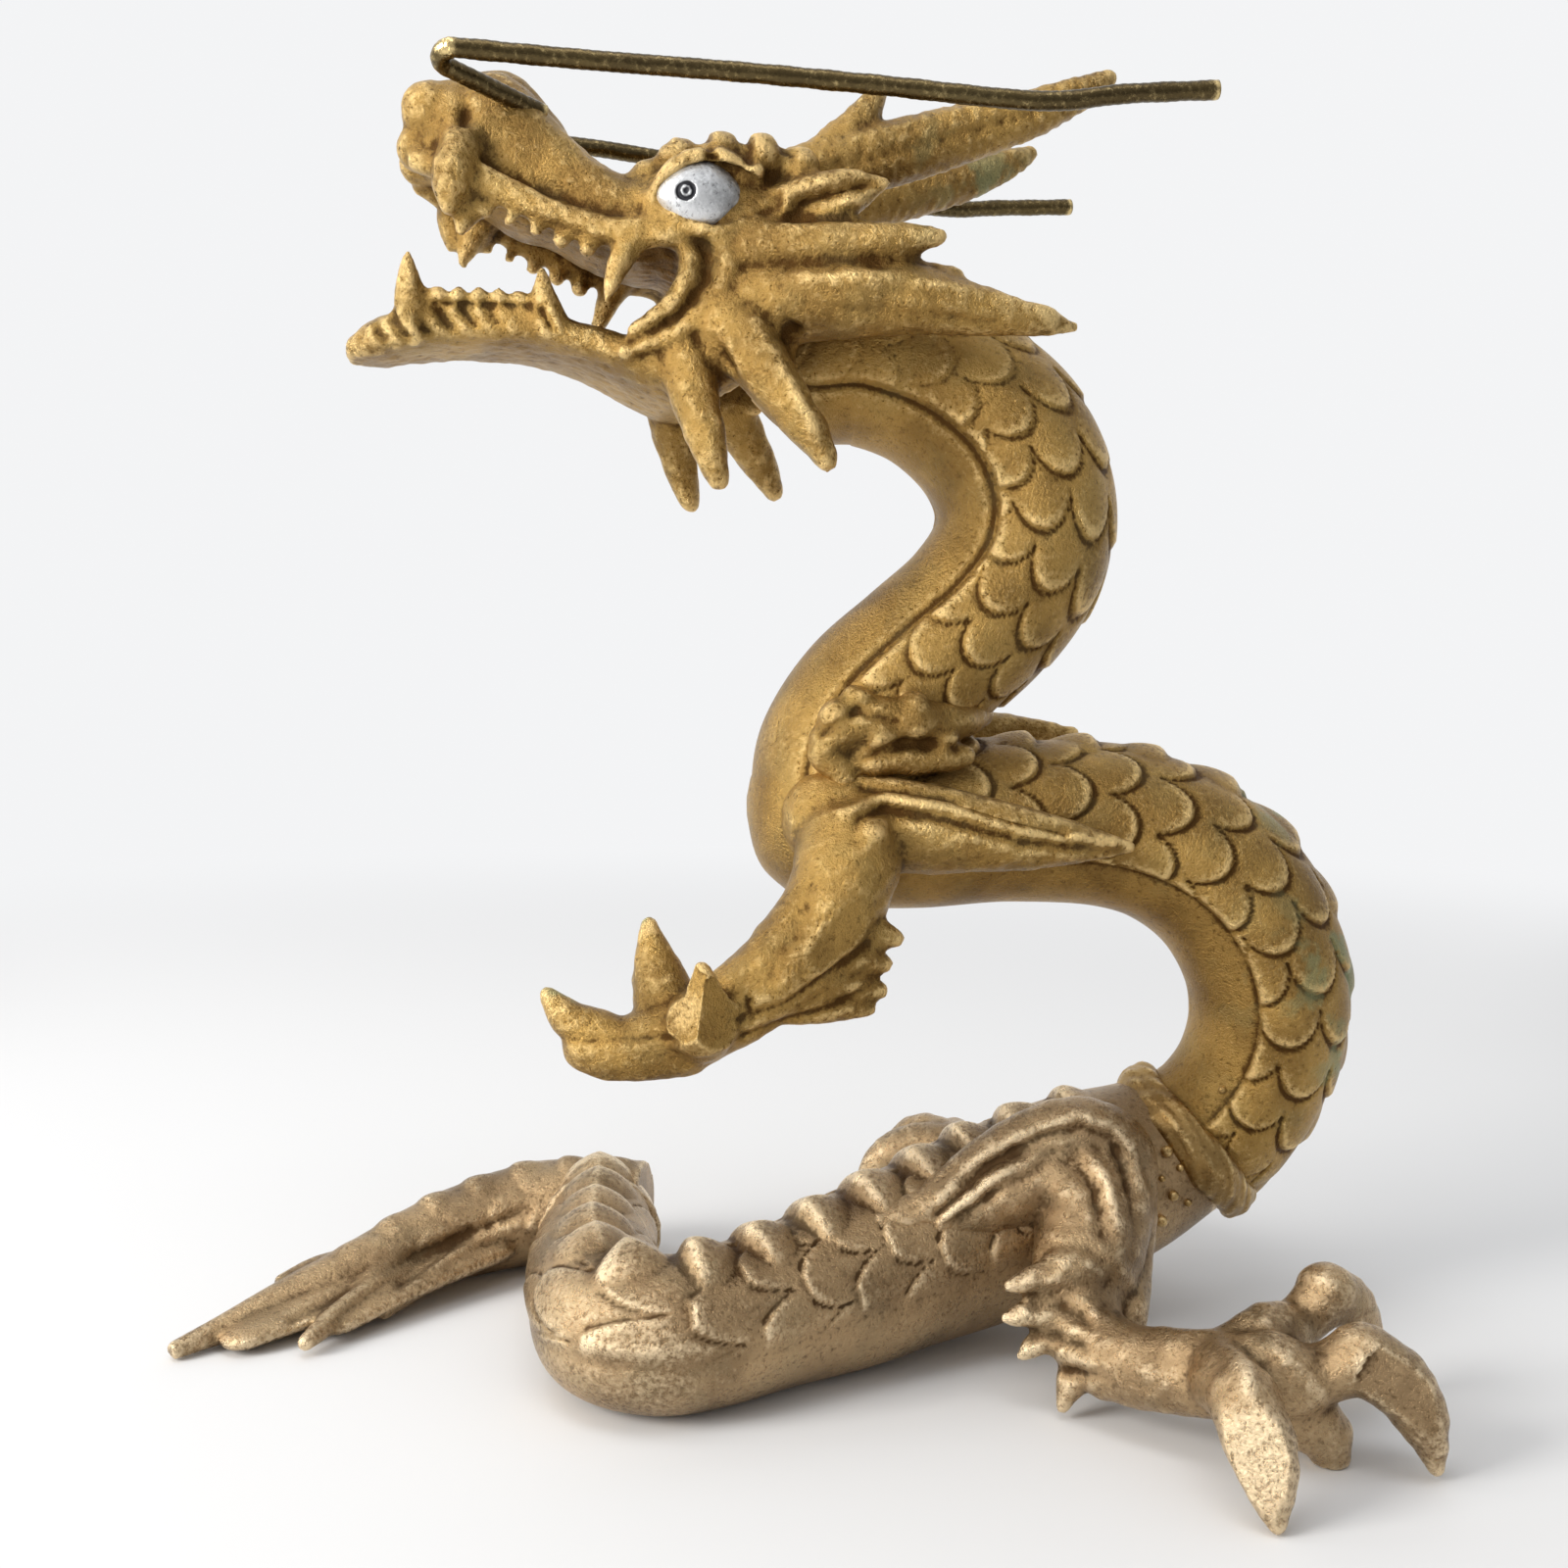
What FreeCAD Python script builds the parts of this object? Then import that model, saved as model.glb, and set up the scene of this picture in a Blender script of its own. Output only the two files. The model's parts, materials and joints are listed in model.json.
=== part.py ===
import FreeCAD, Part
import math
import os

# Dragon ornament: sand-cast brass pieces brazed together, with two bent wire whiskers.
# The figure looks along -X, so its left side is -Y.  +Z is up and the ground is Z = 0.
# All sizes are in millimetres.

Vector = FreeCAD.Vector

# ---------------------------------------------------------------- driving dimensions
BODY_HEIGHT = 170.5          # ground to the centre line at the top of the neck
BODY_LENGTH = 210.0          # tail tip to the furthest toe, along X
BODY_DEPTH = 156.0           # near toe to far toe, along Y
HEAD_LENGTH = 77.3           # chin tip to the head seat
HEAD_TURN = 10.0             # degrees the face is turned towards its left
NECK_WIDTH = 31.0
TORSO_WIDTH = 31.6
HIP_WIDTH = 34.6
TAIL_WIDTH = 20.6
FORELEG_WIDTH = 17.0
HIND_LEG_WIDTH = 17.0
HORN_WIDTH = 9.6

WIRE_WIDTH = 3.0             # whisker wire
WIRE_CLEARANCE = 0.06        # radial, in the drilled snout holes
WIRE_HOLE_DEPTH = 9.0

SPIGOT_WIDTH = 15.0          # cast spigot inside each body joint
SPIGOT_LENGTH = 10.0
HORN_TENON_WIDTH = 5.0
HORN_TENON_LENGTH = 8.0
LEG_STUD_WIDTH = 7.0
LEG_STUD_LENGTH = 6.0
SOCKET_CLEARANCE = 0.15      # radial, round each spigot, tenon and stud
SOCKET_END_GAP = 0.3         # room past the end of each of them
NECK_SOCKET_GAP = 1.6        # radial, between the neck and the hollow head
BEAD_WIDTH = 5.0             # braze bead section at the waist and the chest
TAIL_BEAD_WIDTH = 3.0
HEAD_SOCKET_DEPTH = 10.0     # from the head seat to the blind end the neck stops on
HEAD_SPIGOT_LENGTH = 6.0
HEAD_SOCKET_RISE = 1.0       # of the socket's axis above the head seat

# Lengths at which the stations below were laid out.
LAYOUT_HEIGHT = 170.5
LAYOUT_LENGTH = 210.0
LAYOUT_DEPTH = 156.0
LAYOUT_HEAD = 77.3
TINY = 1e-6
OVAL_BOXINESS = 0.8          # 1 is a true oval, less is boxier


# ---------------------------------------------------------------- placing helpers
def at(x, y, z):
    """A layout point of the body, stretched to the driving sizes."""
    return Vector(
        x * BODY_LENGTH / LAYOUT_LENGTH,
        y * BODY_DEPTH / LAYOUT_DEPTH,
        z * BODY_HEIGHT / LAYOUT_HEIGHT,
    )


def stations(rows, width):
    """Rows of x, y, z and a share of width, as pairs of centre and radius."""
    return [(at(x, y, z), width / 2 * share) for x, y, z, share in rows]


HEAD_SEAT = at(5.0, 0.0, 168.0)
HEAD_SCALE = HEAD_LENGTH / LAYOUT_HEAD
HEAD_ROTATION = FreeCAD.Rotation(Vector(0, 0, 1), HEAD_TURN)


def head_place():
    """Carries head coordinates, measured from the head seat, into the figure."""
    return FreeCAD.Placement(HEAD_SEAT, HEAD_ROTATION)


def on_head(x, y, z):
    """A head layout point; x and z are laid out as on the unturned figure."""
    return Vector(x - 5.0, y, z - 168.0) * HEAD_SCALE


def head_stations(rows, side):
    """Rows of x, y, z, radius of a feature on one side of the head."""
    return [(on_head(x, side * y, z), r * HEAD_SCALE) for x, y, z, r in rows]


# ---------------------------------------------------------------- shape helpers
def unit(v):
    length = max(v.Length, TINY)
    return Vector(v.x / length, v.y / length, v.z / length)


def square_to(direction, tangent):
    """The part of a direction that is square to a tangent."""
    return unit(direction - tangent * direction.dot(tangent))


def any_square(tangent):
    guide = Vector(0, 1, 0) if abs(tangent.y) < 0.9 else Vector(1, 0, 0)
    return square_to(guide, tangent)


def tangents(points):
    last = len(points) - 1
    found = []
    for i in range(len(points)):
        before = points[max(i - 1, 0)]
        after = points[min(i + 1, last)]
        found.append(unit(after - before))
    return found


def round_wire(centre, radius, tangent, side):
    """A circle square to the tangent, whose seam lies on the given side."""
    up = tangent.cross(side)
    turn = FreeCAD.Rotation(side, up, tangent, "ZXY")
    edge = Part.makeCircle(radius)
    edge.Placement = FreeCAD.Placement(centre, turn)
    return Part.Wire([edge])


def limb(rows):
    """A round casting that follows centres and radii."""
    points = [centre for centre, radius in rows]
    side = any_square(unit(points[1] - points[0]))
    wires = []
    for (centre, radius), tangent in zip(rows, tangents(points)):
        side = square_to(side, tangent)
        wires.append(round_wire(centre, radius, tangent, side))
    return Part.makeLoft(wires, True, False)


def squared(value):
    """Pushes a sine or cosine outwards, which makes an oval boxier."""
    return math.copysign(abs(value) ** OVAL_BOXINESS, value)


def oval_wire(x, z, half_height, half_width, corners=16):
    """A closed oval in a plane of constant x, on the head."""
    points = []
    for i in range(corners):
        angle = 2 * math.pi * i / corners
        across = half_width * squared(math.cos(angle))
        points.append(on_head(x, across, z + half_height * squared(math.sin(angle))))
    curve = Part.BSplineCurve()
    curve.interpolate(Points=points, PeriodicFlag=True)
    return Part.Wire([curve.toShape()])


def oval_shell(rows):
    """A solid through ovals given as x, centre height, half height and half width."""
    return Part.makeLoft([oval_wire(*row) for row in rows], True, False)


def rod(start, direction, length, radius):
    return Part.makeCylinder(radius, length, start, direction)


def ring(centre, direction, major, minor):
    return Part.makeTorus(major, minor, centre, direction)


def largest(shape):
    """The main solid of a cut, without any crumbs."""
    return max(shape.Solids, key=lambda solid: solid.Volume)


def joined(first, others):
    """One solid of several that overlap, added one at a time."""
    whole = first
    for other in others:
        whole = whole.fuse(other)
    return whole


def ground_flat(shape):
    """Takes off whatever reaches below the ground, as a file or a grinder does."""
    reach = 2 * (BODY_LENGTH + BODY_DEPTH)
    below = Part.makeBox(reach, reach, BODY_HEIGHT, Vector(-reach / 2, -reach / 2, -BODY_HEIGHT))
    return shape.cut(below)


def socket(start, direction, width, length):
    """The hole for a spigot of the given width and length."""
    return rod(start, direction, length + SOCKET_END_GAP, width / 2 + SOCKET_CLEARANCE)


# ---------------------------------------------------------------- centre lines
NECK_ROWS = [
    (-8, 0, 168.6, 0.84), (3, 0, 170, 0.95), (14, 0, 170.8, 0.98), (26, 0, 166.6, 0.99),
    (36, 0, 158.4, 1.02), (40.8, 0, 148, 1.02), (39.8, 0, 137.6, 1.01), (33.5, 0, 128.6, 0.98),
    (24.4, 0, 120.6, 0.96), (16.2, 0, 112.4, 0.99), (11.6, 0, 103.4, 1.08), (10.5, 0, 95, 1.1),
]
CHEST_ROW = (10.6, 0, 94.4, 1.1)
TORSO_ROWS = [
    (10.6, 0, 93, 1.03), (24, 0.4, 91.5, 1.01), (40, 2, 91.4, 0.97), (56, 4, 90.3, 0.97),
    (69, 5, 86.2, 1.01), (79.4, 6, 78.2, 1.02), (86, 7.2, 66.6, 1.01), (87.6, 8.6, 55.2, 0.98),
    (85.2, 10, 44.8, 0.94), (80.2, 11, 36.6, 0.91), (74, 11, 31.4, 0.9),
]
REAR_ROWS = [
    (74, 11, 31.4, 0.84), (62, 9, 26.6, 0.95), (49, 5, 22.4, 0.99), (34, 0.6, 18, 0.98),
    (18, -8.6, 15, 0.9), (2.4, -18.4, 12.8, 0.78), (-10.4, -26.8, 11.7, 0.71),
    (-20.6, -29.6, 11.5, 0.7), (-29, -24.4, 11.3, 0.69), (-32.8, -11, 11, 0.67),
    (-34.2, 4, 10.6, 0.64), (-35.2, 18, 10.3, 0.61), (-36, 30, 10.2, 0.58),
]
TAIL_ROWS = [
    (-27.6, 31, 10.3, 1.0), (-42, 32.6, 10.1, 1.0), (-54, 30.6, 9.4, 0.93), (-66, 24, 7.9, 0.79),
    (-78, 14, 5.9, 0.6), (-92, 1, 3.5, 0.38), (-105.6, -12.6, 1.5, 0.13),
]
TAIL_PRONGS = [
    [(-68, 20, 5.6, 0.5), (-76, 6, 4.2, 0.33), (-83.6, -13.4, 1.5, 0.12)],
    [(-58, 26, 6, 0.5), (-65, 13, 5, 0.33), (-73.2, 0.6, 1.6, 0.13)],
    [(-74, 17, 6, 0.42), (-88, 14, 6.4, 0.26), (-97, 7, 6.6, 0.12)],
]

# Each leg begins on the body's centre line, and the body is then cut out of it.
LEFT_FORELEG = {
    "bone": [
        (13, -4, 92, 1.0), (11, -20, 90, 1.16), (8.6, -25, 82, 1.0), (3, -27, 73, 0.84),
        (-5, -28, 65, 0.7), (-14, -29, 60.4, 0.7), (-24, -29, 59.4, 0.68),
    ],
    "branches": [
        [(8, -14, 94.6, 1.05), (24, -17.4, 93.2, 0.86), (42, -16.6, 91, 0.56), (57, -15, 89.2, 0.2)],
        [(-20, -29, 60, 0.66), (-30, -29.6, 60.6, 0.6), (-36, -29.6, 64.4, 0.4), (-39, -29.4, 68, 0.1)],
        [(-18, -26, 61, 0.7), (-22.6, -23.6, 68, 0.58), (-22.8, -22.6, 78.2, 0.1)],
        [(-14, -29, 60.6, 0.7), (-13.6, -37, 62.4, 0.54), (-10.2, -41.6, 67.8, 0.12)],
        [(6, -25, 80, 0.8), (14, -25.6, 76, 0.42), (20, -25, 73.6, 0.1)],
        [(0, -27, 69, 0.6), (9, -26, 64.6, 0.36), (14.6, -25, 62, 0.1)],
    ],
}
RIGHT_FORELEG = {
    "bone": [
        (13, 4, 92, 1.0), (13, 19, 89.6, 1.14), (13, 27, 83.6, 1.0), (11.6, 36, 76.4, 0.82),
        (9.4, 44, 70.6, 0.7), (8, 52, 67.6, 0.66),
    ],
    "branches": [
        [(10, 14, 95, 1.05), (24, 18.6, 99.4, 0.8), (40, 20.4, 102.6, 0.5), (54, 20, 104.6, 0.18)],
        [(8.6, 49, 68.6, 0.66), (5.6, 57, 69, 0.5), (4, 62.4, 73.6, 0.1)],
        [(9, 49, 68.6, 0.66), (12.6, 57, 67.4, 0.5), (13, 63.4, 71, 0.1)],
        [(9, 47, 69, 0.66), (9, 53.6, 61.6, 0.46), (9, 56, 56.6, 0.1)],
        [(12, 30, 81, 0.8), (20, 28, 76.6, 0.42), (27, 25.6, 74.6, 0.1)],
    ],
}
LEFT_HIND_LEG = {
    "bone": [
        (52, 4, 28, 1.1), (53.4, -10, 29, 1.3), (51.4, -18, 22.6, 1.16), (47.6, -25, 14.6, 0.98),
        (49.4, -33, 9.6, 0.88), (58, -41, 10, 0.84), (68, -47, 12, 0.9), (77, -49, 12.4, 0.78),
    ],
    "branches": [
        [(56, -6, 34, 1.0), (42, -9.4, 30.6, 0.96), (27, -13.6, 27.4, 0.66), (12.4, -19.6, 24.6, 0.2)],
        [(66, -46, 12.6, 0.8), (64.6, -57, 14.6, 0.64), (65.4, -64.6, 9, 0.5), (66.8, -69.2, 1, 0.12)],
        [(72, -48, 13, 0.8), (86, -48.6, 15.6, 0.62), (94, -50.6, 10, 0.5), (96.6, -53, 1, 0.12)],
        [(72, -46, 13, 0.8), (84, -37, 17, 0.6), (92.4, -30, 12.6, 0.48), (97, -26.6, 1, 0.12)],
        [(50, -30, 12, 0.76), (44, -33, 6, 0.44), (40.4, -34, 1, 0.12)],
        [(74, -47.4, 9.6, 0.7), (79, -47.4, 4, 0.58), (80, -47.4, 0.3, 0.42)],
    ],
}
RIGHT_HIND_LEG = {
    "bone": [
        (52, 6, 28, 1.1), (53.4, 21, 25, 1.1), (52, 33, 19.4, 1.02), (49, 47, 13.6, 0.9),
        (45, 60, 10, 0.84), (39.6, 71, 10, 0.86), (35, 79, 10, 0.76),
    ],
    "branches": [
        [(54, 14, 30, 0.9), (42, 17, 26.6, 0.84), (30, 17.4, 22, 0.5), (20, 15, 19, 0.2)],
        [(36, 76, 10.4, 0.76), (30.6, 81, 11.6, 0.6), (25.6, 84, 6.6, 0.46), (22.8, 85.6, 0.8, 0.12)],
        [(38, 73, 10.4, 0.76), (27.6, 73, 11, 0.6), (20, 73, 7, 0.46), (15.8, 73, 0.8, 0.12)],
        [(38, 76, 10.4, 0.76), (39, 83.6, 10.6, 0.6), (38, 86, 5.6, 0.42), (37.6, 86.2, 0.8, 0.12)],
        [(46, 58, 9.6, 0.7), (51.6, 61.6, 5, 0.42), (54.6, 63, 0.9, 0.12)],
        [(37, 74, 8, 0.68), (35.6, 75, 3.6, 0.56), (35.4, 75, 0.3, 0.42)],
    ],
}
# Lumpy filler in the crease between the neck and the chest, as shares of the bead width.
CHEST_BRAZE_ROWS = [
    (8, -15, 108.4, 1.7), (15, -15, 110, 1.5), (22, -13.6, 109, 1.8),
    (29, -10, 109.4, 1.3), (33, -4, 110.4, 1.0), (34.6, 2, 110.6, 0.9),
]
LEFT_SHOULDER_STUD = (12, -6, 92)
RIGHT_SHOULDER_STUD = (13, 6, 91)
LEFT_HIP_STUD = (53, -2, 27)
RIGHT_HIP_STUD = (53, 12, 26)

# Head layout: x, centre height, half height, half width.
UPPER_HEAD = [
    (-63, 205.4, 3.6, 5.0), (-60.4, 205, 7, 8.6), (-56.4, 204.6, 9.2, 10.8), (-49, 204, 11.8, 12.2),
    (-41, 200.4, 11.2, 12.8), (-33, 194, 9.2, 14.6), (-26, 190.8, 8.2, 17), (-19, 191.6, 10.6, 19.6),
    (-10, 187, 17.6, 21.8), (0, 184.6, 18.6, 21.8), (8, 183.4, 16.4, 19.6),
]
LOWER_JAW = [
    (-73, 169.4, 1.6, 4.0), (-67.6, 171.4, 4.0, 8.6), (-57, 172.2, 4.8, 11), (-44, 171, 4.6, 13),
    (-33, 168, 4.6, 15), (-22, 166.2, 6.2, 17.4), (-12, 169.4, 9, 19.4), (-3, 172.6, 8.6, 19),
]
# Features repeated on both sides of the head: x, y, z, radius.
HEAD_FEATURES = {
    "upper_fang": [(-53.4, 9.4, 200, 4.4), (-54.2, 11.4, 193, 3), (-54.9, 12, 186.4, 0.6)],
    "side_fang": [(-50, 9, 196, 3), (-51.4, 10, 190.6, 1.8), (-52.4, 10.4, 187.6, 0.5)],
    "rear_fang": [(-27.4, 14.4, 187, 3.8), (-29.6, 16, 181, 2.4), (-31.8, 16.8, 175.8, 0.5)],
    "lower_fang": [(-62, 7, 172.6, 3.2), (-62.2, 8.6, 178.4, 2.2), (-62, 9.4, 184.4, 0.5)],
    "lower_rear_fang": [(-40.2, 10.6, 171.6, 2.8), (-40.6, 12, 177.4, 1.9), (-41.3, 12.6, 182.1, 0.4)],
    "front_beard": [(-21, 13.6, 168, 5.4), (-18, 17.4, 158, 3.8), (-13.9, 19, 147, 0.8)],
    "rear_beard": [(-12, 16.6, 173, 6.6), (-5.6, 22.6, 161, 4.4), (3, 25, 150, 0.8)],
    "upper_mane": [(-10, 16.6, 183.6, 7), (6, 23.6, 185, 4.6), (21.2, 27.6, 185.8, 0.8)],
    "lower_mane": [(-10, 14.6, 176.4, 8.4), (14, 22.6, 177.4, 5.8), (30, 25.6, 174.6, 3.6),
                   (42.8, 26, 172.6, 0.8)],
    "ear": [(-8, 16.4, 189.6, 5.4), (2, 22, 192.6, 3.6), (12.6, 24, 194.6, 0.8)],
    "brow": [(-24, 8.4, 197, 2.6), (-20.6, 12, 201, 3.4), (-12, 15.4, 200.8, 4), (-2, 17, 198.4, 3.6),
             (3, 16.4, 195, 2)],
}
HORN_ROWS = [(-3, 10.6, 196.4, 1.14), (6, 12.6, 199.8, 1.1), (21.4, 15.8, 204.2, 0.98),
             (37, 18, 209, 0.72), (51.2, 20, 215.2, 0.16)]
HORN_PRONG_ROWS = [(5, 12.4, 201, 0.84), (10.6, 13.6, 207, 0.6), (14.4, 14, 214, 0.16)]
HORN_MOUTH = (9, 13.2, 200.4)
HORN_TIPWARD = (15, 2, 7)

# Lower teeth between the two lower fangs: first and last x, y, z of the row, on each side.
TEETH_FIRST = (-57.6, 8.4, 173.4)
TEETH_LAST = (-44.4, 10.4, 171.6)
TEETH_COUNT = 5
TOOTH_WIDTH = 3.0
TOOTH_HEIGHT = 6.2
TOOTH_TIP = 0.3

# Whisker route on the head: hole mouth, then the hairpin, then the long arm back.
HOLE_MOUTH = (-46.8, 12.0, 208.2)
HOLE_TIPWARD = (-10.2, 6.4, 2.2)
HAIRPIN_CORNER = 18.7        # along the hole's axis, where shank and arm would meet
HAIRPIN_RADIUS = 0.82        # of the wire's centre line, as a share of the wire's width
WHISKER_ROUTE = [
    (-34, 20.8, 211.1), (-10.4, 24, 209.6), (10.4, 27, 207.9), (34.6, 30, 206.0), (48.1, 32, 207.2),
    (62.6, 33, 208.3),
]


# ---------------------------------------------------------------- the body castings
def torso_mass():
    """The torso's outside: chest ball, neck stump and the long bend to the waist."""
    x, y, z, share = CHEST_ROW
    chest = Part.makeSphere(TORSO_WIDTH / 2 * share, at(x, y, z))
    return joined(limb(stations(TORSO_ROWS, TORSO_WIDTH)), [chest])


def rear_mass():
    return largest(ground_flat(limb(stations(REAR_ROWS, HIP_WIDTH))))


def tail_mass():
    """The last tail piece, with a flat sawn end and a three-pronged fin."""
    prongs = [limb(stations(rows, TAIL_WIDTH)) for rows in TAIL_PRONGS]
    return largest(ground_flat(joined(limb(stations(TAIL_ROWS, TAIL_WIDTH)), prongs)))


def line_end(rows, last=True):
    """End point and outward direction of a centre line."""
    here, there = (rows[-1], rows[-2]) if last else (rows[0], rows[1])
    end = at(*here[:3])
    return end, unit(end - at(*there[:3]))


def chest_spigot():
    """Start and direction of the spigot under the neck."""
    above = at(*NECK_ROWS[-3][:3])
    below = at(*NECK_ROWS[-1][:3])
    direction = unit(below - above)
    seam = at(*CHEST_ROW[:3]) - direction * (TORSO_WIDTH / 2 * CHEST_ROW[3])
    return seam, direction


def neck(torso_outside, seat):
    """The neck, cut to the torso below and to the blind end of the head socket above."""
    seam, direction = chest_spigot()
    tube = limb(stations(NECK_ROWS, NECK_WIDTH)).cut([torso_outside, beyond_socket(seat)])
    overlap = SPIGOT_LENGTH / 2
    lower = rod(seam - direction * overlap, direction, overlap + SPIGOT_LENGTH, SPIGOT_WIDTH / 2)
    root, forward = socket_end()
    upper = rod(root - forward * overlap, forward, overlap + HEAD_SPIGOT_LENGTH, SPIGOT_WIDTH / 2)
    return joined(largest(tube), [lower, placed(upper, seat)])


def socket_end():
    """Centre of the blind end of the head socket and the way into the head, in the head's frame."""
    return Vector(-HEAD_SOCKET_DEPTH, 0, HEAD_SOCKET_RISE), Vector(-1, 0, 0)


def beyond_socket(seat):
    """Everything in front of the blind end, which the neck may not reach into."""
    block = Part.makeBox(HEAD_LENGTH, HEAD_LENGTH, HEAD_LENGTH)
    block.translate(Vector(-HEAD_SOCKET_DEPTH - HEAD_LENGTH, -HEAD_LENGTH / 2, -HEAD_LENGTH / 2))
    return placed(block, seat.multiply(block.Placement))


def leg_stud(stud_row, outward):
    """Start, direction and length of the stud that locates a leg in its body."""
    return at(*stud_row), Vector(0, outward, 0)


def leg(rows, width, body_outside, stud_row, outward):
    """A leg cut to the body that carries it, with a stud left on its seat."""
    branches = [limb(stations(branch, width)) for branch in rows["branches"]]
    cast = joined(limb(stations(rows["bone"], width)), branches)
    seated = largest(ground_flat(cast.cut(body_outside)))
    start, direction = leg_stud(stud_row, outward)
    stud = rod(start, direction, HIP_WIDTH / 2 + LEG_STUD_LENGTH, LEG_STUD_WIDTH / 2)
    inside = stud.common(body_outside)
    return joined(seated, [largest(inside)])


def leg_socket(stud_row, outward):
    start, direction = leg_stud(stud_row, outward)
    back = start - direction * SOCKET_END_GAP
    return rod(back, direction, HIP_WIDTH + LEG_STUD_LENGTH, LEG_STUD_WIDTH / 2 + SOCKET_CLEARANCE)


def torso(torso_outside):
    """The torso with its sockets, and a spigot that runs into the rear body."""
    seam, down = chest_spigot()
    body = torso_outside.cut(socket(seam, down, SPIGOT_WIDTH, SPIGOT_LENGTH))
    body = body.cut(leg_socket(LEFT_SHOULDER_STUD, -1))
    body = body.cut(leg_socket(RIGHT_SHOULDER_STUD, 1))
    end, direction = line_end(TORSO_ROWS)
    overlap = SPIGOT_LENGTH / 2
    spigot = rod(end - direction * overlap, direction, overlap + SPIGOT_LENGTH, SPIGOT_WIDTH / 2)
    return joined(largest(body), [spigot])


def rear_body(rear_outside, torso_outside, tail_outside):
    end, direction = line_end(TORSO_ROWS)
    body = rear_outside.cut(torso_outside).cut(tail_outside)
    body = largest(body).cut(socket(end, direction, SPIGOT_WIDTH, SPIGOT_LENGTH))
    body = body.cut(leg_socket(LEFT_HIP_STUD, -1))
    body = body.cut(leg_socket(RIGHT_HIP_STUD, 1))
    return largest(body)


# ---------------------------------------------------------------- the head
def teeth(side):
    found = []
    for i in range(TEETH_COUNT):
        share = i / (TEETH_COUNT - 1)
        root = [a + (b - a) * share for a, b in zip(TEETH_FIRST, TEETH_LAST)]
        x, y, z = root
        base = on_head(x, side * y, z)
        cone = Part.makeCone(TOOTH_WIDTH / 2 * HEAD_SCALE, TOOTH_TIP, TOOTH_HEIGHT * HEAD_SCALE, base)
        found.append(cone)
    return found


def horn_tenon(side):
    """Where a horn leaves the head, and the way in for its tenon."""
    x, y, z = HORN_MOUTH
    dx, dy, dz = HORN_TIPWARD
    return on_head(x, side * y, z), unit(Vector(-dx, -side * dy, -dz))


def horn_outside(side):
    width = HORN_WIDTH * HEAD_SCALE
    beam = [(on_head(x, side * y, z), width / 2 * share) for x, y, z, share in HORN_ROWS]
    prong = [(on_head(x, side * y, z), width / 2 * share) for x, y, z, share in HORN_PRONG_ROWS]
    return joined(limb(beam), [limb(prong)])


def horn(side, skull):
    """A horn seated on the skull, with the tenon that plugs into it."""
    mouth, inward = horn_tenon(side)
    cast = largest(horn_outside(side).cut(skull))
    overlap = HORN_TENON_WIDTH / 2
    tenon = rod(mouth - inward * overlap, inward, overlap + HORN_TENON_LENGTH, HORN_TENON_WIDTH / 2)
    return joined(cast, [tenon])


def whisker_axis(side):
    """Mouth of the drilled hole and the direction out of it."""
    x, y, z = HOLE_MOUTH
    dx, dy, dz = HOLE_TIPWARD
    return on_head(x, side * y, z), unit(Vector(dx, side * dy, dz))


def whisker_hole(side):
    mouth, out = whisker_axis(side)
    radius = WIRE_WIDTH / 2 + WIRE_CLEARANCE
    return rod(mouth - out * WIRE_HOLE_DEPTH, out, 2 * WIRE_HOLE_DEPTH, radius)


def bend(before, corner, after, radius):
    """Start, middle and end of a round bend in place of a corner."""
    back = unit(before - corner)
    onward = unit(after - corner)
    half = back.getAngle(onward) / 2
    inward = unit(back + onward)
    reach = radius / math.tan(half)
    middle = corner + inward * (radius / math.sin(half) - radius)
    return corner + back * reach, middle, corner + onward * reach


def whisker(side):
    """Straight in its hole, a tight hairpin beside the nose, then the long arm back."""
    mouth, out = whisker_axis(side)
    corner = mouth + out * HAIRPIN_CORNER * HEAD_SCALE
    route = [on_head(x, side * y, z) for x, y, z in WHISKER_ROUTE]
    start, middle, end = bend(mouth, corner, route[0], HAIRPIN_RADIUS * WIRE_WIDTH)
    inner = WIRE_HOLE_DEPTH - SOCKET_END_GAP
    shank = rod(mouth - out * inner, out, inner + (start - mouth).Length, WIRE_WIDTH / 2)
    curve = Part.BSplineCurve()
    curve.interpolate(Points=[end] + route)
    spine = Part.Wire([Part.Arc(start, middle, end).toShape(), curve.toShape()])
    profile = round_wire(start, WIRE_WIDTH / 2, out, any_square(out))
    arm = spine.makePipeShell([profile], True, True)
    return joined(shank, [arm])


def skull():
    """The head's outside without horns: cranium, jaws, fangs, mane, beard, ears and brows."""
    pieces = [oval_shell(LOWER_JAW)]
    for side in (-1, 1):
        for rows in HEAD_FEATURES.values():
            pieces.append(limb(head_stations(rows, side)))
        pieces += teeth(side)
    return joined(oval_shell(UPPER_HEAD), pieces)


def neck_passage():
    """The hollow in the back of the head, with the spigot hole in its blind end."""
    end, forward = socket_end()
    reach = HEAD_SOCKET_DEPTH + HEAD_LENGTH / 2
    hollow = rod(end, forward * -1, reach, NECK_WIDTH / 2 + NECK_SOCKET_GAP)
    return hollow, socket(end, forward, SPIGOT_WIDTH, HEAD_SPIGOT_LENGTH)


def neck_room(seat):
    """The neck and the gap round it, as far as the blind end, in the head's frame."""
    room = limb(stations(NECK_ROWS, NECK_WIDTH + 2 * NECK_SOCKET_GAP)).cut(beyond_socket(seat))
    return placed(room, seat.inverse())


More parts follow.
